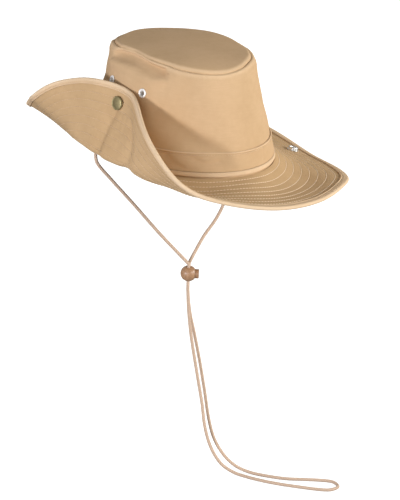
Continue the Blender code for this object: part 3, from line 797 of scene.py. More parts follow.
def add_tube(bm: Mesh, line: Array, axes: tuple[Array, Array], turns: Array, radius: Array, flat: Array,
             painted_light_share: Array) -> None:
    """Add a tube round a line.

    Args:
        bm: Mesh that the tube is added to.
        line: Points in the tube's middle.
        axes: The two directions across the line at each point.
        turns: Angles round the line from the first axis to the second, as a row, in radians.
        radius: Radius at each point and turn.
        flat: Where each corner lies on the flat cloth.
        painted_light_share: Share of painted light at each corner.
    """
    ring = np.cos(turns)[..., None] * axes[0][:, None] + np.sin(turns)[..., None] * axes[1][:, None]
    add_sheet(bm, line[:, None] + ring * radius[..., None], flat, painted_light_share)


@dataclass(frozen=True)
class StitchRow:
    """One row of machine stitches round the hat.

    Dip and squeeze are shares of the thread's radius: how deep the thread goes between two stitches,
    and how thin it is there. Readings are the places at which the length of the row is measured.
    """

    surface: ClothSurface
    along: float
    lift: float
    side: float = 1.0
    dip: float = 1.3
    squeeze: float = 0.6
    readings: int = 1440

    def add_to(self, bm: Mesh, thread: float, pitch: float, sides: int = 5) -> None:
        """Add the row's thread, which dips into the cloth between two stitches.

        Args:
            bm: Mesh that the thread is added to.
            thread: Radius of the thread.
            pitch: Length of a stitch.
            sides: Sides of the thread.
        """
        angles = np.linspace(0.0, 360.0, self.readings)
        lengths = way_along(self.surface.points(angles, np.full(angles.shape, self.along)))
        count = round(lengths[-1] / pitch) * STITCH_CORNERS
        places = np.interp(np.arange(count) / count * lengths[-1], lengths, angles)
        dips = np.arange(count) % STITCH_CORNERS == 0
        lift = (self.lift - np.where(dips, thread * self.dip, 0.0)) * self.side
        middle, normal = self.surface.read(places, np.full(count, self.along))
        middle = middle + normal * lift[:, None]
        ahead = np.roll(middle, -1, axis=0) - np.roll(middle, 1, axis=0)
        across = np.cross(ahead, normal)
        across /= np.linalg.norm(across, axis=1, keepdims=True)
        radius = np.where(dips, thread * self.squeeze, thread)[:, None]
        turns = np.arange(sides + 1)[None, :] / sides * math.tau
        around = np.arange(count + 1) % count
        flat = laid(np.arange(count + 1)[:, None] / STITCH_CORNERS * pitch, turns * thread)
        add_tube(bm, middle[around], (normal[around], across[around]), turns, radius[around], flat,
                 np.zeros(flat.shape[:2]))


def stitched(name: str, rows: Sequence[StitchRow], thread: float, pitch: float) -> Piece:
    """Make the thread of several rows as one piece.

    Args:
        name: Name of the piece.
        rows: The rows of stitches.
        thread: Radius of the thread.
        pitch: Length of a stitch.

    Returns:
        The new object.
    """
    bm = bmesh.new()
    for row in rows:
        row.add_to(bm, thread, pitch)
    return welded_object(name, bm, SMOOTH)


# Node helpers and shared effects

class Graph:
    """Adds and joins the nodes of one material or node group."""

    def __init__(self, tree: Tree) -> None:
        """Keep the tree that is worked on."""
        self.tree = tree

    def node(self, kind: str, **settings: object) -> Node:
        """Add a node and set its options.

        Args:
            kind: Type of the node.
            **settings: Its options by their names.

        Returns:
            The node.
        """
        made = self.tree.nodes.new(kind)
        for key, value in settings.items():
            setattr(made, key, value)
        return made

    def feed(self, socket: Socket, value: object) -> None:
        """Join another socket to a socket, or set its plain value.

        Args:
            socket: The input.
            value: A socket or a plain value.
        """
        if isinstance(value, Socket):
            self.tree.links.new(value, socket)
        else:
            socket.default_value = value

    def fill(self, node: Node, values: dict[str, object]) -> None:
        """Feed several inputs of a node by their names."""
        for key, value in values.items():
            self.feed(node.inputs[key], value)

    def maths(self, operation: str, *values: object) -> Socket:
        """Result of a Math node.

        Args:
            operation: Name of the operation.
            *values: Its inputs in their order.

        Returns:
            The result.
        """
        made = self.node("ShaderNodeMath", operation=operation)
        for socket, value in zip(made.inputs, values):
            self.feed(socket, value)
        return made.outputs[0]

    def weighed(self, first: Socket, share: float, second: Socket, other: float) -> Socket:
        """Sum of two values, each times its own share."""
        return self.maths("ADD", self.maths("MULTIPLY", first, share), self.maths("MULTIPLY", second, other))

    def noise(self, place: Socket, scale: float, detail: float = 2.0, roughness: float = 0.5) -> Socket:
        """Values of a Noise Texture, round one half.

        Args:
            place: Where the texture is read.
            scale: How fine it is.
            detail: How many finer layers it has.
            roughness: How strong the finer layers are.

        Returns:
            The values.
        """
        made = self.node("ShaderNodeTexNoise")
        self.fill(made, {"Vector": place, "Scale": scale, "Detail": detail, "Roughness": roughness})
        return made.outputs["Fac"]

    def mixed(self, share: Socket, first: object, second: object) -> Socket:
        """Colour between two colours.

        Args:
            share: Share of the second colour.
            first: A socket or a colour.
            second: A socket or a colour.

        Returns:
            The colour.
        """
        made = self.node("ShaderNodeMix", data_type="RGBA")
        self.feed(made.inputs["Factor"], share)
        for socket, value in zip(made.inputs[MIX_COLOURS], (first, second)):
            self.feed(socket, (*value, 1.0) if isinstance(value, tuple) else value)
        return made.outputs[MIX_RESULT]

    def span(self, value: Socket, low: float, high: float, to_low: float = 0.0,
             to_high: float = 1.0) -> Socket:
        """Value moved from one range to another and held inside it.

        Args:
            value: The value.
            low: Start of its range.
            high: End of its range.
            to_low: Start of the new range.
            to_high: End of the new range.

        Returns:
            The new value.
        """
        made = self.node("ShaderNodeMapRange")
        for socket, number in zip(made.inputs, (value, low, high, to_low, to_high)):
            self.feed(socket, number)
        return made.outputs[0]

    def bump(self, height: Socket, strength: float, distance: float) -> Socket:
        """Normal of a relief.

        Args:
            height: Height of the relief.
            strength: Share of it that is used.
            distance: Height in metres that 1 stands for.

        Returns:
            The normal.
        """
        made = self.node("ShaderNodeBump")
        self.fill(made, {"Strength": strength, "Distance": distance, "Height": height})
        return made.outputs["Normal"]

    def mapped(self, place: Socket, **change: Triple) -> Socket:
        """Place moved or stretched by a Mapping node.

        Args:
            place: The place.
            **change: Location or Scale of the node.

        Returns:
            The new place.
        """
        made = self.node("ShaderNodeMapping")
        self.fill(made, {"Vector": place, **change})
        return made.outputs["Vector"]

    def apart(self, place: Socket) -> tuple[Socket, ...]:
        """The X, Y and Z of a place.

        Args:
            place: The place.

        Returns:
            Its three values.
        """
        made = self.node("ShaderNodeSeparateXYZ")
        self.feed(made.inputs[0], place)
        return tuple(made.outputs)

    def group(self, tree: Tree, **values: object) -> tuple[Socket, ...]:
        """What a shared effect puts out for its own values.

        Args:
            tree: The shared effect.
            **values: Its inputs by their names.

        Returns:
            Its outputs in their order.
        """
        made = self.node("ShaderNodeGroup", node_tree=tree)
        self.fill(made, values)
        return tuple(made.outputs)

    def cloth(self) -> Socket:
        """Place on the flat cloth."""
        return self.node("ShaderNodeUVMap", uv_map="cloth").outputs["UV"]

    def place(self) -> Socket:
        """Place in the frame of the hat."""
        return self.node("ShaderNodeTexCoord").outputs["Object"]

    def painted_light_share(self) -> Socket:
        """Share of painted light at each corner: painted highlight on the cloth's raised edges, painted shade
        where a strand of the braid lies in.
        """
        return self.node("ShaderNodeAttribute", attribute_name="painted_light_share").outputs["Fac"]


class Kind(Enum):
    """Kinds of socket that a shared effect has."""

    FLOAT = "NodeSocketFloat"
    VECTOR = "NodeSocketVector"


def new_group(name: str, inputs: dict[str, Kind], outputs: Sequence[str]) -> tuple[Graph, Sockets, Node]:
    """Start a shared effect that puts out plain values.

    Args:
        name: Name of the group.
        inputs: Kind of each input by its name.
        outputs: Names of the outputs.

    Returns:
        The graph, what its inputs give by their names, and its output node.
    """
    tree = bpy.data.node_groups.new(name, "ShaderNodeTree")
    for label, kind in inputs.items():
        tree.interface.new_socket(name=label, in_out="INPUT", socket_type=kind.value)
    for label in outputs:
        tree.interface.new_socket(name=label, in_out="OUTPUT", socket_type=Kind.FLOAT.value)
    graph = Graph(tree)
    return graph, graph.node("NodeGroupInput").outputs, graph.node("NodeGroupOutput")


@cache
def twill_weave() -> Tree:
    """Diagonal ribs of cotton twill with its cross threads, from the place on the flat cloth.

    Returns:
        The node group.
    """
    inputs = {"Cloth": Kind.VECTOR, "Pitch": Kind.FLOAT}
    graph, given, result = new_group("twill_weave", inputs, ("Height", "Rib"))
    x, y, _ = graph.apart(given["Cloth"])
    wander = graph.maths("MULTIPLY", graph.noise(given["Cloth"], 90.0), 0.0012)
    slant = graph.maths("ADD", graph.maths("ADD", x, y), wander)
    turn = graph.maths("DIVIDE", math.tau, given["Pitch"])
    rib = graph.maths("SINE", graph.maths("MULTIPLY", slant, turn))
    cross = graph.maths("SINE", graph.maths("MULTIPLY", graph.maths("MULTIPLY", x, turn), 1.7))
    height = graph.maths("ADD", graph.weighed(rib, 0.35, cross, 0.15), 0.5)
    graph.fill(result, {"Height": height, "Rib": graph.span(rib, -1.0, 1.0)})
    return graph.tree


@cache
def cloth_life() -> Tree:
    """Slow and fine unevenness of dyed and washed cotton.

    Returns:
        The node group.
    """
    inputs = {"Place": Kind.VECTOR, "Cloth": Kind.VECTOR}
    graph, given, result = new_group("cloth_life", inputs, ("Tone", "Slub"))
    slow = graph.noise(given["Place"], 28.0, 3.0, 0.55)
    middle = graph.noise(given["Place"], 170.0, 2.0, 0.6)
    slub = graph.noise(graph.mapped(given["Cloth"], Scale=(60.0, 900.0, 1.0)), 1.0, 2.0, 0.6)
    graph.fill(result, {"Tone": graph.weighed(slow, 0.65, middle, 0.35), "Slub": slub})
    return graph.tree


@cache
def metal_wear() -> Tree:
    """Stains and fine scratches of small metal fittings.

    Returns:
        The node group.
    """
    graph, given, result = new_group("metal_wear", {"Place": Kind.VECTOR}, ("Stain", "Scratch"))
    stain = graph.span(graph.noise(given["Place"], 320.0, 4.0, 0.65), 0.35, 0.7)
    scratch = graph.noise(graph.mapped(given["Place"], Scale=(400.0, 2600.0, 400.0)), 1.0)
    graph.fill(result, {"Stain": stain, "Scratch": scratch})
    return graph.tree


def new_material(name: str) -> tuple[bpy.types.Material, Graph, Node]:
    """Start a material and give its graph and its shader.

    Args:
        name: Name of the material.

    Returns:
        The material, its graph and its shader.
    """
    material = bpy.data.materials.new(name)
    material.use_nodes = True
    return material, Graph(material.node_tree), material.node_tree.nodes["Principled BSDF"]


@dataclass(frozen=True)
class Finish(ABC):
    """Look of one material, between a light colour and a deep one."""

    name: str
    colour: Colour
    deep: Colour

    @abstractmethod
    def look(self, graph: Graph) -> dict[str, object]:
        """What each input of the shader is joined to or set to.

        Args:
            graph: Graph of the material.

        Returns:
            Values of the shader's inputs by their names.
        """

    def material(self) -> bpy.types.Material:
        """The finished material.

        Returns:
            The material.
        """
        material, graph, shader = new_material(self.name)
        graph.fill(shader, self.look(graph))
        return material


@dataclass(frozen=True)
class ClothFinish(Finish):
    """Cotton twill of one colour, with painted shade between its ribs and a painted highlight on its raised
    edges.
    """

    # Lighter colour of the painted highlight on raised edges and rims.
    painted_light: Colour
    pitch: float = 0.0011
    # How far the twill's grooves are darkened as painted shade, and the slubs darkened.
    ribs: float = 0.30
    unevenness: float = 0.75
    relief: float = 0.00016
    fuzz: float = 0.02

    def look(self, graph: Graph) -> dict[str, object]:
        """Painted shade in the deep colour between the ribs, the deep colour in the slubs, and a painted
        highlight in the lighter colour on raised edges.

        Args:
            graph: Graph of the material.

        Returns:
            Values of the shader's inputs by their names.
        """
        cloth = graph.cloth()
        height, rib = graph.group(twill_weave(), Cloth=cloth, Pitch=self.pitch)
        tone, slub = graph.group(cloth_life(), Place=graph.place(), Cloth=cloth)
        base = graph.mixed(graph.span(tone, 0.32, 0.68, 0.0, self.unevenness), self.colour, self.deep)
        # Painted shade: the twill's grooves are darkened toward the deep colour; the slubs are darkened as
        # their own tone.
        grooves = graph.maths("SUBTRACT", 1.0, rib)
        shade = graph.weighed(grooves, self.ribs, graph.span(slub, 0.3, 0.7), self.ribs)
        base = graph.mixed(shade, base, self.deep)
        # Painted highlight: raised edges and rims are lightened toward the lighter colour, broken up by the
        # slubs.
        highlight_share = graph.maths("MULTIPLY", graph.painted_light_share(), graph.span(slub, 0.2, 0.8, 0.6, 1.0))
        return {
            "Base Color": graph.mixed(highlight_share, base, self.painted_light),
            "Roughness": graph.span(tone, 0.3, 0.7, 0.82, 0.95),
            "Normal": graph.bump(graph.maths("ADD", height, slub), 0.55, self.relief),
            "Specular IOR Level": 0.06,
            "Sheen Weight": self.fuzz,
            "Sheen Roughness": 0.6,
        }


@dataclass(frozen=True)
class ThreadFinish(Finish):
    """Twisted sewing thread."""

    def look(self, graph: Graph) -> dict[str, object]:
        """The deep colour between the twisted plies.

        Args:
            graph: Graph of the material.

        Returns:
            Values of the shader's inputs by their names.
        """
        x, y, _ = graph.apart(graph.cloth())
        twist = graph.maths("SINE", graph.weighed(x, 9000.0, y, 16000.0))
        twist = graph.span(twist, -1.0, 1.0, 0.0, 0.45)
        return {
            "Base Color": graph.mixed(twist, self.colour, self.deep),
            "Normal": graph.bump(twist, 0.4, 0.00006),
            "Roughness": 0.6,
            "Sheen Weight": 0.1,
        }


@dataclass(frozen=True)
class MetalFinish(Finish):
    """Small pressed metal fitting."""

    polish: float
    stained: float
    metallic: float = 1.0

    def look(self, graph: Graph) -> dict[str, object]:
        """The deep colour where the metal is stained, and rougher there.

        Args:
            graph: Graph of the material.

        Returns:
            Values of the shader's inputs by their names.
        """
        stain, scratch = graph.group(metal_wear(), Place=graph.place())
        share = graph.maths("MULTIPLY", stain, self.stained)
        return {
            "Base Color": graph.mixed(share, self.colour, self.deep),
            "Roughness": graph.span(stain, 0.0, 1.0, self.polish, self.polish + 0.25),
            "Normal": graph.bump(scratch, 0.12, 0.00004),
            "Metallic": self.metallic,
        }


@dataclass(frozen=True)
class WoodFinish(Finish):
    """Turned and varnished wood, with its rings round a centre."""

    centre: Triple

    def look(self, graph: Graph) -> dict[str, object]:
        """The deep colour in the grain's rings and pores, under a thin coat.

        Args:
            graph: Graph of the material.

        Returns:
            Values of the shader's inputs by their names.
        """
        place = graph.mapped(graph.place(), Location=tuple(-c for c in self.centre))
        rings = graph.node("ShaderNodeTexWave", wave_type="RINGS", rings_direction="X")
        graph.fill(rings, {"Vector": place, "Scale": 110.0, "Distortion": 3.0, "Detail": 2.0})
        pores = graph.mapped(place, Scale=(300.0, 2200.0, 2200.0))
        pore = graph.span(graph.noise(pores, 1.0, 3.0), 0.5, 0.7)
        share = graph.weighed(rings.outputs["Fac"], 0.45, graph.noise(place, 160.0), 0.3)
        base = graph.mixed(share, self.colour, self.deep)
        return {
            "Base Color": graph.mixed(graph.maths("MULTIPLY", pore, 0.5), base, self.deep),
            "Roughness": graph.span(pore, 0.0, 1.0, 0.38, 0.6),
            "Normal": graph.bump(pore, 0.3, 0.00008),
            "Coat Weight": 0.25,
            "Coat Roughness": 0.25,
        }


@dataclass(frozen=True)
class BraidFinish(Finish):
    """Cotton braid; its mesh has the strands, and the cloth map runs along it. Painted shade darkens it where
    a strand lies in.
    """

    def look(self, graph: Graph) -> dict[str, object]:
        """Painted shade in the deep colour between the strands, and the deep colour as random tone between
        their fibres.

        Args:
            graph: Graph of the material.

        Returns:
            Values of the shader's inputs by their names.
        """
        fine = graph.noise(graph.mapped(graph.cloth(), Scale=(700.0, 2600.0, 1.0)), 1.0)
        share = graph.weighed(graph.painted_light_share(), 0.75, fine, 0.25)
        return {
            "Base Color": graph.mixed(share, self.colour, self.deep),
            "Normal": graph.bump(fine, 0.4, 0.0001),
            "Roughness": 0.85,
            "Sheen Weight": 0.15,
        }


@dataclass(frozen=True)
class Palette:
    """All finishes of the hat."""

    # Each cloth gives its colour, its deep colour and the lighter colour of its painted highlight.
    crown: Finish = ClothFinish("crown_twill", (0.63, 0.43, 0.25), (0.53, 0.35, 0.19), (0.74, 0.54, 0.34))
    brim: Finish = ClothFinish("brim_twill", (0.60, 0.405, 0.22), (0.50, 0.325, 0.165), (0.70, 0.49, 0.29))
    tape: Finish = ClothFinish("binding_tape", (0.71, 0.51, 0.32), (0.58, 0.40, 0.23), (0.80, 0.61, 0.41),
                               pitch=0.0009, ribs=0.14)
    thread: Finish = ThreadFinish("sewing_thread", (0.68, 0.50, 0.31), (0.50, 0.34, 0.19))
    row_thread: Finish = ThreadFinish("row_thread", (0.88, 0.70, 0.48), (0.70, 0.52, 0.33))
    under_thread: Finish = ThreadFinish("under_thread", (0.64, 0.45, 0.26), (0.50, 0.34, 0.19))
    brass: Finish = MetalFinish("aged_brass", (0.40, 0.33, 0.17), (0.24, 0.20, 0.10), 0.42, 0.6)
    silver: Finish = MetalFinish("satin_nickel", (0.82, 0.82, 0.80), (0.55, 0.53, 0.50), 0.22, 0.35)
    white_metal: Finish = MetalFinish("white_metal", (0.90, 0.89, 0.86), (0.72, 0.70, 0.66), 0.35, 0.4, 0.3)
    braid: Finish = BraidFinish("cotton_braid", (0.70, 0.52, 0.38), (0.36, 0.23, 0.15))


def dressed(piece: Piece, material: bpy.types.Material, slot: Slot, *nodes: str,
            body: Body = Body.HAT) -> Piece:
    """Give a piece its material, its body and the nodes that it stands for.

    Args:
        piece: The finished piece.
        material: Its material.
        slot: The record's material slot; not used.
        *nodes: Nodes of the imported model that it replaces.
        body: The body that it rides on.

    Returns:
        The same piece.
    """
    piece.data.materials.clear()
    piece.data.materials.append(material)
    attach(piece, body.value)
    if nodes:
        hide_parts(*nodes)
    LOG.info("%s: %d corners", piece.name, len(piece.data.vertices))
    return piece


# The hat's own pieces

@dataclass
class Crown:
    """Crown of the hat: wall, tip, band and strip, with their stitching."""

    form: HatForm
    wall: ClothSurface
    palette: Palette
    cloth: float = 0.0016
    tip_dome: float = 0.0025
    tip_roll: float = 0.0042
    tip_fall: float = 0.0021
    strip_rise: float = 0.0018
    strip_height: float = 0.0042
    strip_cloth: float = 0.0014
    band_height: float = 0.0165
    band_cloth: float = 0.0010
    band_seat: float = 0.0005
    band_hem: float = 0.0024
    band_ridge: float = 0.00035
    band_groove: float = 0.00030
    strip_falls: tuple[float, float] = (0.45, 0.25)
    # Share of the lighter colour laid evenly over the whole strip.
    strip_lightening: float = 0.35
    welt_height: float = 0.0031
    welt_lift: float = 0.0006
    seam_width: float = 0.0008
    thread: float = 0.00022
    stitch: float = 0.0026
    foot: float = -0.0012
    # Painted highlight along the welt under the top seam: its strength and its reach.
    rim_highlight: float = 0.45
    rim_highlight_reach: float = 0.0022
    rim_width: float = 0.0011
    rim_round: float = 0.0008
    pucker_reach: float = 0.004
    gathers: tuple[Wave, ...] = (Wave(83, 0.0, 0.00016, 0.0), Wave(49, 0.0, 0.000096, 1.3))
    gather_sway: Wave = Wave(5, 0.0, 0.4, 0.0)
    tip_sag: Wave = Wave(2, 0.0, 0.0012, 0.8)
    rim_sag: Wave = Wave(5, 0.0, 0.0005, 0.0)
    band_wave: Wave = Wave(9, 3.0 / math.tau, 0.02, 0.0)
    band_folds: tuple[Fold, ...] = (
        Fold("front_arc", ((236, 0.75), (244, 0.45), (253, 0.55)), 0.045, 0.12, 0.25),
        Fold("left_fold", ((218, 0.95), (224, 0.40), (230, 0.10)), 0.06, 0.25, 0.40),
        Fold("end_seam", ((290, 0.02), (290, 0.98)), 0.055, 0.02, 0.12),
        Fold("rear_arc", ((80, 0.30), (98, 0.55), (112, 0.40)), 0.04, 0.2, 0.3),
    )
    columns: int = 300

    @property
    def strip_top(self) -> float:
        """Height of the strip's upper edge."""
        return self.strip_rise + self.strip_height

    @property
    def band_low(self) -> float:
        """Height of the band's lower edge."""
        return self.strip_top + GAP

    @property
    def band_high(self) -> float:
        """Height of the band's upper edge."""
        return self.band_low + self.band_height

    def build(self, eyelets: Sequence[Hole]) -> None:
        """Make every piece of the crown.

        Args:
            eyelets: Middles and radii of the holes through the wall.
        """
        crown = self.palette.crown.material()
        thread = self.palette.thread.material()
        dressed(self.wall_piece(eyelets), crown, Slot.KHAKI, "crown_side")
        dressed(self.tip_piece(), crown, Slot.KHAKI, "crown_tip")
        dressed(self.band_piece(), crown, Slot.KHAKI, "hat_band")
        dressed(self.strip_piece(), self.palette.tape.material(), Slot.KHAKI, "base_strip")
        dressed(self.seam_stitches(), thread, Slot.KHAKI)

    def welt(self, height: float) -> float:
        """Lift of the wall over the seam allowance that lies under its top edge.

        Args:
            height: Height on the wall.

        Returns:
            The lift.
        """
        below = self.form.crown_height - height
        rise = hump(below - self.welt_height * 0.5, self.welt_height * 0.5)
        rounded = max(0.0, 1.0 - below / self.rim_width)
        return self.welt_lift * rise - self.rim_round * rounded ** 2

    def wall_highlight(self, height: float) -> float:
        """Painted highlight on the wall's welt near its top seam."""
        below = self.form.crown_height - self.welt_height * 0.5 - height
        return self.rim_highlight * hump(below, self.rim_highlight_reach)

    def puckers(self, angles: Array, heights: Array) -> Array:
        """Small gathers that the top seam draws in the wall.

        Args:
            angles: Places round the hat in degrees.
            heights: Heights on the wall.

        Returns:
            The lift at each place.
        """
        away = np.maximum(0.0, self.form.crown_height - self.welt_height - heights)
        fading = np.exp(-away / self.pucker_reach) * (heights > self.form.crown_height * 0.7)
        gathers = sum(wave.lift(angles, 0.0) for wave in self.gathers)
        return fading * gathers * (self.gather_sway.lift(angles, 0.0) + 0.6)

    def wall_piece(self, eyelets: Sequence[Hole]) -> Piece:
        """Tapered wall of the crown.

        Args:
            eyelets: Middles and radii of the holes through it.

        Returns:
            The new object.
        """
        top = self.form.crown_height
        outline = Outline()
        outline.face(self.foot, top * 0.9, 52, lambda height: 0.0)
        outline.face(top * 0.905, top, 32, self.welt, self.wall_highlight)
        outline.go(top - 0.0002, -self.cloth * 0.8).go(top - 0.0005, -self.cloth)
        outline.face(top - 0.0010, self.foot, 40, lambda height: -self.cloth)
        return sewn_piece("crown_wall", self.wall, outline, self.columns, self.form.flat_wall, self.puckers,
                          eyelets)

    def tip_piece(self) -> Piece:
        """Flat oval panel on top, dipping into its seam.

        Returns:
            The new object.
        """
        shares = np.concatenate([np.linspace(0.0, 0.88, 26), np.linspace(0.89, 1.0, 22)])
        angles = round_hat(self.columns, closed=True)[:, 0]
        rim = self.wall.points(angles, np.full(angles.shape, self.form.crown_height))
        middle = self.form.crown_height - self.form.rear_drop / 2
        upper = self.tip_face(rim, shares, middle, angles, True)
        under = self.tip_face(rim, shares[::-1], middle, angles, False)
        points = np.concatenate([upper, under], axis=1)
        # Painted highlight on the tip's rolled edge.
        painted_light_share = np.concatenate([0.5 * hump(0.975 - shares, 0.02), np.zeros(shares.shape)])
        bm = bmesh.new()
        add_sheet(bm, points, points[..., :2], np.broadcast_to(painted_light_share, points.shape[:2]))
        return welded_object("crown_tip_panel", bm)

    def tip_face(self, rim: Array, shares: Array, middle: float, angles: Array, upper: bool) -> Array:
        """Points of one face of the tip.

        Args:
            rim: Points of the seam.
            shares: Shares of the way from the tip's middle to its seam.
            middle: Height of the seam's middle.
            angles: Places round the hat in degrees.
            upper: Whether it is the upper face.

        Returns:
            The points, as columns by rows by three.
        """
        share = shares[None, :]
        dome = self.tip_dome * (1.0 - share ** 2)
        sag = self.tip_sag.lift(angles[:, None], 0.0) * share ** 2 * (1.0 - share ** 8)
        sag = sag + self.rim_sag.lift(angles[:, None], 0.0) * share ** 3
        across = np.linalg.norm(rim[:, None, :2], axis=2)
        pull = 1.0 - self.seam_width / across
        into_roll = np.clip(1.0 - across * (1.0 - share) / self.tip_roll, 0.0, 1.0)
        fall = self.tip_fall * (1.0 - np.sqrt(np.clip(1.0 - into_roll ** 2, 0.0, 1.0)))
        level = middle + (rim[:, None, 2] - middle) * share ** 4 + dome + sag + GAP
        at_seam = share ** 40
        if upper:
            lift = (self.cloth + 0.0006) * (1.0 - at_seam) - fall * 0.9 + self.cloth * 0.5 * at_seam
        else:
            lift = -fall * 0.2
        x, y = (rim[:, None, axis] * share * pull for axis in (0, 1))
        return np.stack([x, y, level + lift], axis=-1)

    def band_wrinkles(self, angles: Array, heights: Array) -> Array:
        """Shallow wrinkles of the band, only on its outer face.

        Args:
            angles: Places round the hat in degrees.
            heights: Heights on the wall.

        Returns:
            The lift at each place.
        """
        share = (heights - self.band_low) / self.band_height
        degree = math.radians(1.0) * self.form.head_length / 2 / self.band_height
        depth = sum(fold.depth_at(angles, share, degree) for fold in self.band_folds)
        depth = depth + self.band_wave.lift(angles, share)
        return -depth * self.band_height * np.clip(share * 6, 0, 1) * np.clip((1 - share) * 6, 0, 1)

    def band_piece(self) -> Piece:
        """Cloth band round the crown, its upper edge folded and stitched.

        Returns:
            The new object.
        """
        low, high, seat = self.band_low, self.band_high, self.band_seat
        face = seat + self.band_cloth

        def lift(height: float) -> float:
            """Outer face with the folded edge's ridge and its stitching groove.

            Args:
                height: Height on the wall.

            Returns:
                The lift.
            """
            ridge = self.band_ridge * hump(high - 0.0007 - height, 0.0007)
            groove = self.band_groove * hump(high - self.band_hem - height, 0.0006)
            return face + ridge - groove

        def painted_light_share(height: float) -> float:
            """Painted highlight along the folded edge."""
            return 0.85 * hump(high - 0.0005 - height, 0.0008)

        outline = Outline()
        outline.go(low, seat).go(low, seat + self.band_cloth * 0.95)
        outline.face(low + 0.0004, high - 0.0045, 16, lambda height: face)
        outline.face(high - 0.0040, high - 0.0003, 14, lift, painted_light_share)
        outline.go(high, seat + self.band_cloth * 0.55, 0.8).go(high, seat)
        return sewn_piece("band", self.wall, outline, self.columns, self.form.flat_wall, self.band_wrinkles)

    def strip_piece(self) -> Piece:
        """Narrow tape at the foot of the crown.

        Returns:
            The new object.
        """
        low, high, seat = self.strip_rise, self.strip_top, self.band_seat

        def lift(height: float) -> float:
            """Rounded face that falls off more at its lower edge.

            Args:
                height: Height on the wall.

            Returns:
                The lift.
            """
            away = (height - (low + high) / 2) / (high - low) * 2
            fall = self.strip_falls[0 if away < 0.0 else 1]
            return seat + self.strip_cloth * (1.0 - fall * abs(away) ** 4)

        outline = Outline().go(low, seat)
        outline.face(low + 0.0002, high - 0.0002, 12, lift, lambda height: self.strip_lightening).go(high, seat)
        return sewn_piece("foot_strip", self.wall, outline, self.columns, self.form.flat_wall)

    def seam_stitches(self) -> Piece:
        """Thread along the tip's seam, the band's upper edge and the strip.

        Returns:
            The new object.
        """
        top = self.form.crown_height
        rows = [
            StitchRow(self.wall, top - self.welt_height, 0.00002),
            StitchRow(self.wall, self.band_high - self.band_hem, self.band_seat + self.band_cloth - 0.00015),
            StitchRow(self.wall, self.strip_top - 0.0009, self.band_seat + self.strip_cloth + 0.00002),
        ]
        return stitched("crown_stitches", rows, self.thread, self.stitch)


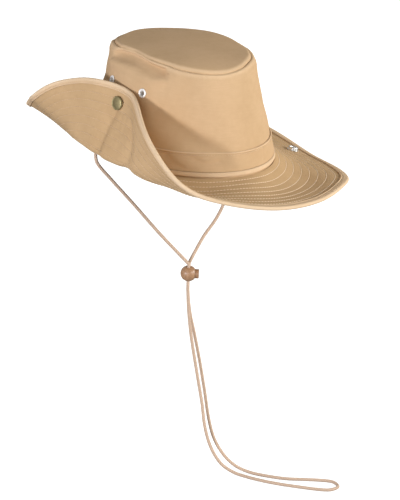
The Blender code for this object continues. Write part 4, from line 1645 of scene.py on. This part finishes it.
@dataclass
class Brim:
    """Brim of the hat with its rows of stitching and its bound edge."""

    form: HatForm
    sheet: ClothSurface
    palette: Palette
    cloth: float = 0.0018
    rows: int = 8
    first_row: float = 0.0054
    row_step: float = 0.0079
    groove: float = 0.00032
    groove_width: float = 0.0009
    tape_width: float = 0.0066
    tape_under: float = 0.0042
    tape_cloth: float = 0.0009
    tape_hem: float = 0.0016
    tape_ridge: float = 0.00025
    tape_groove: float = 0.00035
    tape_turn: float = 0.0006
    tape_round: float = 0.0018
    thread: float = 0.00033
    tape_thread: float = 0.00024
    stitch: float = 0.0030
    columns: int = 320

    def build(self) -> None:
        """Make every piece of the brim."""
        dressed(self.brim_piece(), self.palette.brim.material(), Slot.BRIM, "brim")
        dressed(self.tape_piece(), self.palette.tape.material(), Slot.TAPE, "brim_binding")
        rows = self.palette.row_thread.material()
        dressed(self.row_stitches("brim_stitches_upper", 1.0), rows, Slot.BRIM)
        under = self.palette.under_thread.material()
        dressed(self.row_stitches("brim_stitches_under", -1.0), under, Slot.BRIM)
        dressed(self.tape_stitches(), under, Slot.TAPE)

    @property
    def tape_seat(self) -> float:
        """Lift of the binding's inner face."""
        return self.cloth / 2 + 0.00003

    @property
    def tape_face(self) -> float:
        """Lift of the binding's outer face."""
        return self.cloth / 2 + self.tape_cloth

    def row_widths(self) -> list[float]:
        """Distance of each row of stitching from the seam."""
        return [self.first_row + self.row_step * k for k in range(self.rows)]

    def quilting(self, width: float) -> float:
        """Half thickness of the cloth, drawn in by its rows of stitching."""
        drawn = sum(hump(width - row, self.groove_width) for row in self.row_widths())
        return self.cloth / 2 - self.groove * drawn

    def brim_piece(self) -> Piece:
        """The brim's two layers of cloth, quilted together.

        Returns:
            The new object.
        """
        edge = self.form.brim_width
        outline = Outline()
        outline.face(0.0, edge, 84, self.quilting)
        outline.face(edge, 0.0, 84, lambda width: -self.quilting(width))
        return sewn_piece("brim_cloth", self.sheet, outline, self.columns, self.form.flat_brim)

    def tape_lift(self, inward: float, width: float) -> float:
        """Lift of the binding's face, thicker over its turned-in hem and drawn in by its stitching.

        Args:
            inward: Distance in from the brim's edge.
            width: Width of the tape on that face.

        Returns:
            The lift from the middle of the brim's cloth.
        """
        ridge = self.tape_ridge * hump(inward - width + 0.0006, 0.0005)
        groove = self.tape_groove * hump(inward - width + self.tape_hem, 0.0005)
        return self.tape_face + ridge - groove

    def tape_side(self, width: float) -> list[Triple]:
        """Corners of the binding on one face of the brim, from its hem to the brim's edge.

        Args:
            width: Width of the tape on that face.

        Returns:
            The corners, each as distance along, lift and share of painted highlight.
        """
        edge, near = self.form.brim_width, self.tape_seat
        # Painted highlight: lighter at the hem's lip and toward the brim's rolled edge.
        corners = [(edge - width, near, 0.2), (edge - width - 0.00015, near + 0.0003, 0.3),
                   (edge - width - 0.00010, near + 0.0007, 0.5)]
        for inward in np.linspace(width - 0.0002, self.tape_turn, 23):
            corners.append((edge - inward, self.tape_lift(inward, width), 0.15 + 0.45 * hump(inward, 0.0012)))
        return corners

    def tape_piece(self) -> Piece:
        """Folded tape over the brim's edge, wider on its upper face.

        Returns:
            The new object.
        """
        edge = self.form.brim_width
        outline = Outline(self.tape_side(self.tape_width))
        # The binding's rolled edge carries a painted highlight.
        for turn in np.radians(90.0 - 22.5 * np.arange(1, 8)):
            along = edge - self.tape_turn + self.tape_round * math.cos(turn)
            outline.go(along, self.tape_face * math.sin(turn), 0.6)
        for along, lift, painted_light_share in reversed(self.tape_side(self.tape_under)):
            outline.go(along, -lift, painted_light_share)
        outline.go(edge + 0.0002, -self.tape_seat).go(edge + 0.0002, self.tape_seat)
        return sewn_piece("binding", self.sheet, outline, 2 * self.columns, self.form.flat_wall)

    def row_stitches(self, name: str, side: float) -> Piece:
        """Thread of the brim's rows on one face.

        Args:
            name: Name of the piece.
            side: 1 for the upper face, or -1.

        Returns:
            The new object.
        """
        lift = self.cloth / 2 - self.groove + self.thread * 0.75
        rows = [StitchRow(self.sheet, width, lift, side) for width in self.row_widths()]
        return stitched(name, rows, self.thread, self.stitch)

    def tape_stitches(self) -> Piece:
        """Thread that holds the binding, on both faces.

        Returns:
            The new object.
        """
        rows = []
        for side, width in ((1.0, self.tape_width), (-1.0, self.tape_under)):
            inward = width - self.tape_hem
            lift = self.tape_lift(inward, width) + self.tape_thread * 0.3
            rows.append(StitchRow(self.sheet, self.form.brim_width - inward, lift, side))
        return stitched("binding_stitches", rows, self.tape_thread, self.stitch)


@dataclass
class Fittings:
    """Metal eyelets and snaps."""

    form: HatForm
    wall: ClothSurface
    sheet: ClothSurface
    palette: Palette
    cloth: float = 0.0016
    brim_cloth: float = 0.0018
    eyelet_radius: float = 0.0044
    eyelet_hole: float = 0.0023
    eyelet_wall: float = 0.0006
    eyelet_flange: float = 0.0008
    eyelet_seat: float = 0.0009
    eyelet_height: float = 0.066
    cap_radius: float = 0.0065
    cap_thickness: float = 0.0020
    cap_seat: float = 0.0012
    cap_rim: float = 0.0006
    cap_ring: tuple[tuple[float, float], ...] = ((0.86, 1.55), (0.80, 1.45), (0.74, 1.75))
    stud_radius: float = 0.00575
    stud_height: float = 0.0034
    stud_socket: float = 0.82
    stud_roll: float = 0.0009
    stud_dish: float = 0.0021
    stud_button: float = 0.0011
    snap_stem: float = 0.0020
    snap_flange: float = 0.0045
    snap_neck: float = 0.0030
    snap_left: tuple[float, float] = (182.0, 0.014)
    snap_right: tuple[float, float] = (-1.0, 0.019)

    eyelet_angles: ClassVar[dict[str, float]] = {
        "eyelet_left_front": 198.0,
        "eyelet_left_back": 166.0,
        "eyelet_right_front": -18.0,
        "eyelet_right_back": 14.0,
    }

    def brim_place(self, snap: tuple[float, float], side: float) -> Matrix:
        """Placement on the brim's middle with +Z out of one face."""
        return self.sheet.placement(snap[0], self.form.brim_width - snap[1], side)

    def eyelet_holes(self) -> list[Hole]:
        """Middles and radii of the holes that the eyelets sit in.

        Returns:
            The middles and radii.
        """
        radius = self.eyelet_hole + self.eyelet_wall + GAP
        inward = Vector((0.0, 0.0, -self.cloth / 2))
        return [(self.wall.placement(angle, self.eyelet_height) @ inward, radius)
                for angle in self.eyelet_angles.values()]

    def build(self) -> None:
        """Make every fitting."""
        silver = self.palette.silver.material()
        white = self.palette.white_metal.material()
        brass = self.palette.brass.material()
        for name, angle in self.eyelet_angles.items():
            dressed(self.eyelet(name + "_ring", angle), white, Slot.SILVER, name)
        dressed(self.cap("closed_snap_cap", self.snap_left, self.cap_seat), brass, Slot.BRASS, "snap_cap")
        dressed(self.cap("open_snap_cap", self.snap_right, GAP), brass, Slot.BRASS, "snap_stud_cap")
        dressed(self.stud(), silver, Slot.SILVER, "snap_stud")
        dressed(self.crown_snap(), silver, Slot.SILVER, "crown_snap_right")
        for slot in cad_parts["snap_post"].material_slots:
            slot.material = silver

    def eyelet(self, name: str, angle: float) -> Piece:
        """Ring with a rolled face outside and a flat flange inside.

        Args:
            name: Name of the piece.
            angle: Place round the hat in degrees.

        Returns:
            The new object.
        """
        hole, radius = self.eyelet_hole, self.eyelet_radius
        neck = hole + self.eyelet_wall
        roll = (radius - hole) / 2
        middle = hole + roll
        back = -(self.cloth + self.eyelet_seat)
        squash = self.eyelet_flange * 1.25 / roll
        face = [(x, GAP + (y - GAP) * squash) for x, y in arc((middle, GAP), roll, 0.0, 180.0, 12)]
        profile = face + [(hole, back - self.eyelet_flange * 0.6)]
        profile += arc((hole + 0.0003, back - self.eyelet_flange * 0.6), 0.0003, 180.0, 270.0, 3)
        profile += [(radius, back - self.eyelet_flange * 0.5), (radius, back), (neck, back), (neck, GAP)]
        return turned_piece(name, profile + face[:1], self.wall.placement(angle, self.eyelet_height))

    def cap(self, name: str, snap: tuple[float, float], seat: float) -> Piece:
        """Low domed cap with a rolled rim and a sunk ring round its crown.

        Args:
            name: Name of the piece.
            snap: Angle of the snap, and how far in it lies.
            seat: Gap between the cloth and the cap.

        Returns:
            The new object.
        """
        radius, rim, base = self.cap_radius, self.cap_rim, self.brim_cloth / 2 + seat
        profile = [(0.0, base), (radius * 0.9, base)]
        profile += arc((radius - rim, base + rim), rim, -90.0, 60.0, 8)
        profile += [(radius * share, base + rim * rise) for share, rise in self.cap_ring]
        inner, low = profile[-1]
        dome = (self.cap_thickness - (low - base)) / 2
        for share in np.linspace(0.875, 0.0, 8):
            profile.append((inner * share, low + dome * (1.0 - share ** 2)))
        return turned_piece(name, profile, self.brim_place(snap, -1.0), 48)

    def stud(self) -> Piece:
        """Open snap half: a flange, a socket rim with rolled edges and a dished middle.

        Returns:
            The new object.
        """
        radius, height = self.stud_radius, self.stud_height
        base = self.brim_cloth / 2 + GAP
        outer = radius * self.stud_socket
        roll = self.stud_roll
        profile = [(0.0, base), (radius, base)]
        profile += arc((radius - 0.0004, base + 0.0005), 0.0004, -20.0, 90.0)
        profile += [(outer + 0.0002, base + 0.0010)]
        profile += arc((outer - roll, base + height - roll), roll, 0.0, 180.0, 10)
        inner, dish = outer - 2 * roll, base + height - self.stud_dish
        profile += [(inner - 0.0001, dish + 0.0004), (inner - 0.0006, dish), (self.stud_button, dish)]
        profile += arc((0.0, dish), self.stud_button, 0.0, 90.0)
        return turned_piece("open_snap_socket", profile, self.brim_place(self.snap_right, 1.0), 48)

    def crown_snap(self) -> Piece:
        """Mate of the open snap on the crown's right side.

        Returns:
            The new object.
        """
        low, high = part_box("crown_snap_right")
        place = self.wall.placement(self.snap_right[0], (low.z + high.z) / 2)
        back = -(self.cloth + GAP)
        stem, flange, neck = self.snap_stem, self.snap_flange, self.snap_neck
        profile = [(0.0, back - 0.0010)]
        profile += arc((flange - 0.0005, back - 0.0005), 0.0005, -90.0, 0.0, 4)
        profile += [(flange, back), (stem, back), (stem, GAP), (flange, GAP)]
        profile += arc((flange - 0.0004, GAP + 0.0006), 0.0004, 0.0, 90.0, 4)
        profile += [(neck * 0.8, GAP + 0.0010), (neck * 0.8, GAP + 0.0018)]
        profile += arc((neck - 0.0008, GAP + self.stud_height - 0.0009), 0.0008, -30.0, 90.0, 6)
        profile += [(0.0, GAP + self.stud_height)]
        return turned_piece("crown_snap_ball", profile, place)


# The cord's route, in millimetres
ROUTE_LEFT = (
    (-71.6, 27.0, 10.0), (-73.9, 27.0, 1.0), (-74.8, 27.0, -7.0), (-73.0, 26.0, -15.0),
    (-62.0, 22.5, -29.0), (-39.0, 13.0, -57.0), (-15.0, 3.0, -87.0), (4.5, -6.0, -110.0),
)
ROUTE_DOWN = (
    (12.8, -9.6, -146.0), (14.6, -10.2, -167.0), (18.0, -12.0, -194.0), (24.5, -16.0, -233.0),
    (28.0, -22.0, -263.0), (28.6, -28.5, -287.0), (32.0, -36.0, -307.0), (39.0, -44.0, -322.0),
    (47.0, -54.0, -329.0), (53.5, -67.0, -330.0), (62.0, -82.0, -330.0), (73.0, -97.0, -330.0),
    (85.0, -110.5, -330.0), (97.0, -123.0, -330.0), (107.5, -130.5, -330.0),
)
ROUTE_BACK = (
    (118.5, -129.0, -330.0), (120.5, -118.5, -330.0), (112.0, -109.5, -330.0), (99.0, -100.0, -330.0),
    (85.0, -90.0, -330.0), (73.0, -77.0, -330.0), (62.5, -62.0, -329.8), (53.5, -50.0, -326.0),
    (45.0, -40.5, -316.0), (38.6, -31.0, -300.0), (36.6, -23.0, -281.0), (35.6, -15.0, -254.0),
    (31.0, -10.0, -222.0), (24.6, -7.6, -193.0), (19.0, -6.4, -171.0), (15.4, -6.3, -149.0),
)
ROUTE_RIGHT = (
    (22.0, -3.6, -112.5), (38.0, 3.0, -99.0), (56.0, 9.0, -86.5), (66.5, 12.0, -73.0),
    (71.5, 14.0, -52.0), (74.0, 16.0, -27.0), (75.4, 17.0, -7.0), (75.3, 17.0, 1.0), (73.1, 17.0, 10.0),
)


@dataclass
class ChinCord:
    """Braided chin cord in one length, and its wooden lock with a sprung plunger."""

    palette: Palette
    diameter: float = 0.0031
    strand_gap: float = 0.0003
    strand_run: tuple[float, float] = (0.62, 0.45)
    ball_diameter: float = 0.0154
    centre: Triple = (0.0137, -0.0080, -0.1293)
    turn: float = -37.0
    plunger_diameter: float = 0.0090
    plunger_reach: float = 0.0100
    plunger_travel: float = 0.0018
    plunger_end: float = 0.0013
    plunger_bevel: float = 0.0006
    strands: int = 8
    braid_pitch: float = 0.0105
    braid_depth: float = 0.13
    braid_fullness: float = 1.05
    sides: int = 16
    readings: int = 40
    step: float = 0.00065
    slot_rounding: float = 0.48

    def strand_points(self, side: float) -> list[Vector]:
        """Straight run of one strand through the lock, from above to below.

        Args:
            side: -1 or 1, for the one strand or the other.

        Returns:
            The points.
        """
        turn = math.radians(self.turn)
        across = Vector((-math.sin(turn), math.cos(turn), 0.0))
        middle = Vector(self.centre) + across * side * (self.diameter + self.strand_gap) / 2
        heights = [*self.strand_run, *(-share for share in reversed(self.strand_run))]
        return [middle + Vector((0.0, 0.0, h * self.ball_diameter)) for h in heights]

    def route(self) -> list[Vector]:
        """All route points, from the left seam to the right one.

        Returns:
            The points.
        """
        left, down, back, right = ([Vector(place) * MILLIMETRE for place in rows] for rows in
                                   (ROUTE_LEFT, ROUTE_DOWN, ROUTE_BACK, ROUTE_RIGHT))
        return left + self.strand_points(-1.0) + down + back + self.strand_points(1.0)[::-1] + right

    def line(self) -> Array:
        """Even points along the smooth curve through the route.

        Returns:
            The points, as rows of three.
        """
        points = self.route()
        padded = [points[0] * 2 - points[1]] + points + [points[-1] * 2 - points[-2]]
        samples = []
        for p0, p1, p2, p3 in zip(padded, padded[1:], padded[2:], padded[3:]):
            span = (p2 - p1).length
            rate1 = (p2 - p0) * (span / ((p1 - p0).length + span))
            rate2 = (p3 - p1) * (span / ((p3 - p2).length + span))
            samples += [curve(k / self.readings, (p1, p2), (rate1, rate2)) for k in range(self.readings)]
        rough = np.array(samples + points[-1:])
        lengths = way_along(rough)
        even = np.linspace(0.0, lengths[-1], round(lengths[-1] / self.step) + 1)
        return np.stack([np.interp(even, lengths, rough[:, k]) for k in range(3)], axis=-1)

    def build(self) -> None:
        """Make the cord and its lock."""
        line = self.line()
        cord = dressed(self.cord_piece(line), self.palette.braid.material(), Slot.CORD, "chin_cord")
        ball_wood = WoodFinish("ball_wood", (0.47, 0.27, 0.145), (0.30, 0.155, 0.075), self.centre)
        plunger_wood = WoodFinish("plunger_wood", (0.38, 0.205, 0.105), (0.24, 0.12, 0.055), self.centre)
        ball = dressed(self.ball_piece(), ball_wood.material(), Slot.BALL, "cord_ball")
        plunger = dressed(self.plunger_piece(), plunger_wood.material(), Slot.PLUNGER, "cord_plunger",
                          body=Body.PLUNGER)

    def cord_piece(self, line: Array) -> Piece:
        """Round braid, with its strands crossing over and under each other.

        Args:
            line: Even points along its middle.

        Returns:
            The new object.
        """
        ahead = np.gradient(line, axis=0)
        ahead /= np.linalg.norm(ahead, axis=1, keepdims=True)
        across = np.zeros_like(line)
        side = np.cross(ahead[0], (0.0, 1.0, 0.0))
        for k, way in enumerate(ahead):
            side = side - way * side.dot(way)
            side /= np.linalg.norm(side)
            across[k] = side
        over = np.cross(ahead, across)
        places = np.arange(len(line))[:, None] * self.step
        turns = np.arange(self.sides + 1)[None, :] / self.sides * math.tau
        half = self.strands / 2
        twist = places / self.braid_pitch * math.tau
        strand = np.maximum(np.cos((turns + twist) * half / 2) ** 2, np.cos((turns - twist) * half / 2) ** 2)
        radius = self.diameter / 2 * (self.braid_fullness - self.braid_depth * (1.0 - strand))
        radius[[0, -1]] = 0.0
        bm = bmesh.new()
        flat = laid(places, turns * self.diameter / 2)
        # Painted shade: the cord is darkened where the braid lies in, by 1 - strand.
        add_tube(bm, line, (across, over), turns, radius, flat, 1.0 - strand)
        return welded_object("braided_cord", bm, SMOOTH)

    def lock_place(self) -> Matrix:
        """Placement of the lock with +X the way that its plunger points."""
        return Matrix.Translation(self.centre) @ Matrix.Rotation(math.radians(self.turn), 4, "Z")

    def block(self, name: str, low: Vector, high: Vector, rounding: float = 0.0) -> Piece:
        """Box in the lock's own axes, used as a cutter.

        Args:
            name: Name of the cutter.
            low: Its lowest corner.
            high: Its highest corner.
            rounding: How far its upright edges are bevelled.

        Returns:
            The new object.
        """
        bm = bmesh.new()
        bmesh.ops.create_cube(bm, size=1.0)
        bmesh.ops.scale(bm, vec=high - low, verts=bm.verts)
        bmesh.ops.translate(bm, vec=(low + high) / 2, verts=bm.verts)
        bmesh.ops.transform(bm, matrix=self.lock_place(), verts=bm.verts)
        if rounding > 0.0:
            upright = [edge for edge in bm.edges if edge.calc_length() > self.ball_diameter]
            bmesh.ops.bevel(bm, geom=upright, offset=rounding, offset_type="OFFSET", segments=6, profile=0.5,
                            affect="EDGES", material=-1)
        return finished_object(name, bm)

    def ball_piece(self) -> Piece:
        """Turned wooden ball with its slot and its bore.

        Returns:
            The new object.
        """
        bm = bmesh.new()
        bmesh.ops.create_uvsphere(bm, u_segments=48, v_segments=32, radius=self.ball_diameter / 2)
        bmesh.ops.transform(bm, matrix=self.lock_place(), verts=bm.verts)
        ball = finished_object("lock_ball", bm)
        width, length = self.diameter + 2 * GAP, 2 * self.diameter + self.strand_gap + 2 * GAP
        half = Vector((width / 2, length / 2, self.ball_diameter))
        cut_away(ball, self.block("ball_slot", -half, half, width * self.slot_rounding))
        inner = self.diameter / 2 + GAP + self.plunger_end + self.plunger_travel + GAP
        bore = self.plunger_diameter / 2 + GAP
        along = self.lock_place() @ Matrix.Rotation(math.pi / 2, 4, "Y")
        profile = [(0.0, -inner), (bore, -inner), (bore, self.ball_diameter), (0.0, self.ball_diameter)]
        cut_away(ball, turned_piece("ball_bore", profile, along))
        return ball

    def plunger_piece(self) -> Piece:
        """Plunger with a rounded end, slotted for the strands.

        Returns:
            The new object.
        """
        radius, bevel = self.plunger_diameter / 2, self.plunger_bevel
        inner = self.diameter / 2 + GAP + self.plunger_end
        profile = [(0.0, -inner), (radius - 0.0003, -inner), (radius, -inner + 0.0003)]
        profile += [(radius, self.plunger_reach - bevel)]
        profile += arc((radius - bevel, self.plunger_reach - bevel), bevel, 0.0, 90.0, 6)
        profile += [(radius * 0.45, self.plunger_reach), (0.0, self.plunger_reach - 0.0002)]
        along = self.lock_place() @ Matrix.Rotation(math.pi / 2, 4, "Y")
        plunger = turned_piece("lock_plunger", profile, along)
        half = self.diameter + self.strand_gap / 2 + GAP
        low = Vector((-self.diameter / 2 - GAP, -half, -self.ball_diameter))
        high = Vector((self.diameter / 2 + GAP + self.plunger_travel, half, self.ball_diameter))
        cut_away(plunger, self.block("plunger_slot", low, high))
        return plunger


# Camera, light and floor

def sight(azimuth: float, elevation: float) -> Vector:
    """Direction out of the hat, turned from its front and raised by angles in degrees."""
    turn, rise = math.radians(azimuth), math.radians(elevation)
    return Vector((math.sin(turn) * math.cos(rise), -math.cos(turn) * math.cos(rise), math.sin(rise)))


def set_up(data: bpy.types.Camera | bpy.types.Light, place: Matrix) -> Piece:
    """Link a new camera or lamp and lay it at a place.

    Args:
        data: The camera or lamp.
        place: Where it stands and which way it faces.

    Returns:
        The new object.
    """
    made = bpy.data.objects.new(data.name, data)
    bpy.context.scene.collection.objects.link(made)
    made.matrix_world = place
    return made


@dataclass(frozen=True)
class PhotoCamera:
    """Camera that sees the hat as the photograph does."""

    azimuth: float = -37.0
    elevation: float = 21.0
    roll: float = 3.2
    distance: float = 2.2
    aim_right: float = 0.020
    aim_up: float = -0.0985
    image_height: float = 500.0
    pixels_per_metre: float = 1070.0
    sensor: float = 36.0
    sees_to: float = 50.0

    def build(self) -> None:
        """Make the camera and use it."""
        back = sight(self.azimuth, self.elevation)
        level = sight(self.azimuth + 90.0, 0.0)
        tilt = Matrix.Rotation(math.radians(self.roll), 3, back)
        right = tilt @ level
        up = tilt @ back.cross(level)
        data = bpy.data.cameras.new("photo_camera")
        data.sensor_fit = "VERTICAL"
        data.sensor_height = self.sensor
        data.lens = self.sensor * self.distance * self.pixels_per_metre / self.image_height
        data.clip_end = self.sees_to
        place = right * self.aim_right + up * self.aim_up + back * self.distance
        turned = Matrix((right, up, back)).transposed().to_4x4()
        bpy.context.scene.camera = set_up(data, Matrix.Translation(place) @ turned)


@dataclass(frozen=True)
class SoftLight:
    """Large soft lamp that faces the hat."""

    name: str
    azimuth: float
    elevation: float
    distance: float
    size: float
    power: float
    colour: Colour = (1.0, 1.0, 1.0)
    aim: Triple = (0.02, 0.0, 0.02)

    def build(self) -> None:
        """Make the lamp."""
        away = sight(self.azimuth, self.elevation)
        data = bpy.data.lights.new(self.name, "AREA")
        data.shape = "DISK"
        data.size = self.size
        data.energy = self.power
        data.color = self.colour
        set_up(data, facing(Vector(self.aim) + away * self.distance, away))


@dataclass(frozen=True)
class Studio:
    """Pale floor, soft room light and lamps."""

    floor_height: float = -0.3318
    floor_size: float = 14.0
    room_low: float = 0.54
    room_high: float = 0.32
    seen_white: float = 1.05
    floor_bounce: float = 0.32
    lamps: tuple[SoftLight, ...] = (
        SoftLight("right_lamp", 56.0, 13.0, 2.4, 0.7, 36.0, (1.0, 0.99, 0.97)),
        SoftLight("front_lamp", 20.0, 20.0, 2.4, 0.7, 20.0, (1.0, 0.99, 0.97)),
        SoftLight("left_lamp", -77.0, 6.0, 2.4, 0.30, 30.0, (0.98, 1.0, 1.10)),
        SoftLight("left_fill", -45.0, 8.0, 2.4, 0.9, 13.0, (0.98, 1.0, 1.08)),
    )

    def build(self) -> None:
        """Make the studio."""
        bpy.context.scene.view_settings.view_transform = "Standard"
        self.light_room()
        for lamp in self.lamps:
            lamp.build()
        self.lay_floor()

    def light_room(self) -> None:
        """Soft light from all round, weaker from above, in front of a white ground."""
        world = bpy.data.worlds.new("studio")
        bpy.context.scene.world = world
        world.use_nodes = True
        graph = Graph(world.node_tree)
        generated = graph.node("ShaderNodeTexCoord").outputs["Generated"]
        glow = graph.span(graph.apart(generated)[2], 0.0, 0.9, self.room_low, self.room_high)
        seen = graph.node("ShaderNodeLightPath").outputs["Is Camera Ray"]
        unseen = graph.maths("MULTIPLY", graph.maths("SUBTRACT", 1.0, seen), glow)
        strength = graph.maths("ADD", unseen, graph.maths("MULTIPLY", seen, self.seen_white))
        background = world.node_tree.nodes["Background"]
        graph.fill(background, {"Strength": strength, "Color": (1.0, 1.0, 0.99, 1.0)})

    def lay_floor(self) -> None:
        """Plain pale floor that shows white and bounces a little light."""
        bm = bmesh.new()
        bmesh.ops.create_grid(bm, x_segments=1, y_segments=1, size=self.floor_size / 2)
        bmesh.ops.translate(bm, vec=(0.0, 0.0, self.floor_height), verts=bm.verts)
        floor = finished_object("studio_floor", bm)
        material, graph, shader = new_material("pale_floor")
        seen = graph.node("ShaderNodeLightPath").outputs["Is Camera Ray"]
        graph.fill(shader, {
            "Base Color": (*[self.floor_bounce] * 3, 1.0),
            "Roughness": 1.0,
            "Specular IOR Level": 0.0,
            "Emission Color": (1.0, 1.0, 0.985, 1.0),
            "Emission Strength": graph.maths("MULTIPLY", seen, self.seen_white),
        })
        floor.data.materials.append(material)


def main() -> None:
    """Dress the hat."""
    logging.basicConfig(level=logging.INFO, format="%(name)s %(message)s")
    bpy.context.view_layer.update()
    palette = Palette()
    form = HatForm()
    PhotoCamera().build()
    ChinCord(palette).build()
    wall = form.wall()
    sheet = form.brim()
    fittings = Fittings(form, wall, sheet, palette)
    Crown(form, wall, palette).build(fittings.eyelet_holes())
    Brim(form, sheet, palette).build()
    fittings.build()
    Studio().build()


if __name__ == "__main__":
    main()
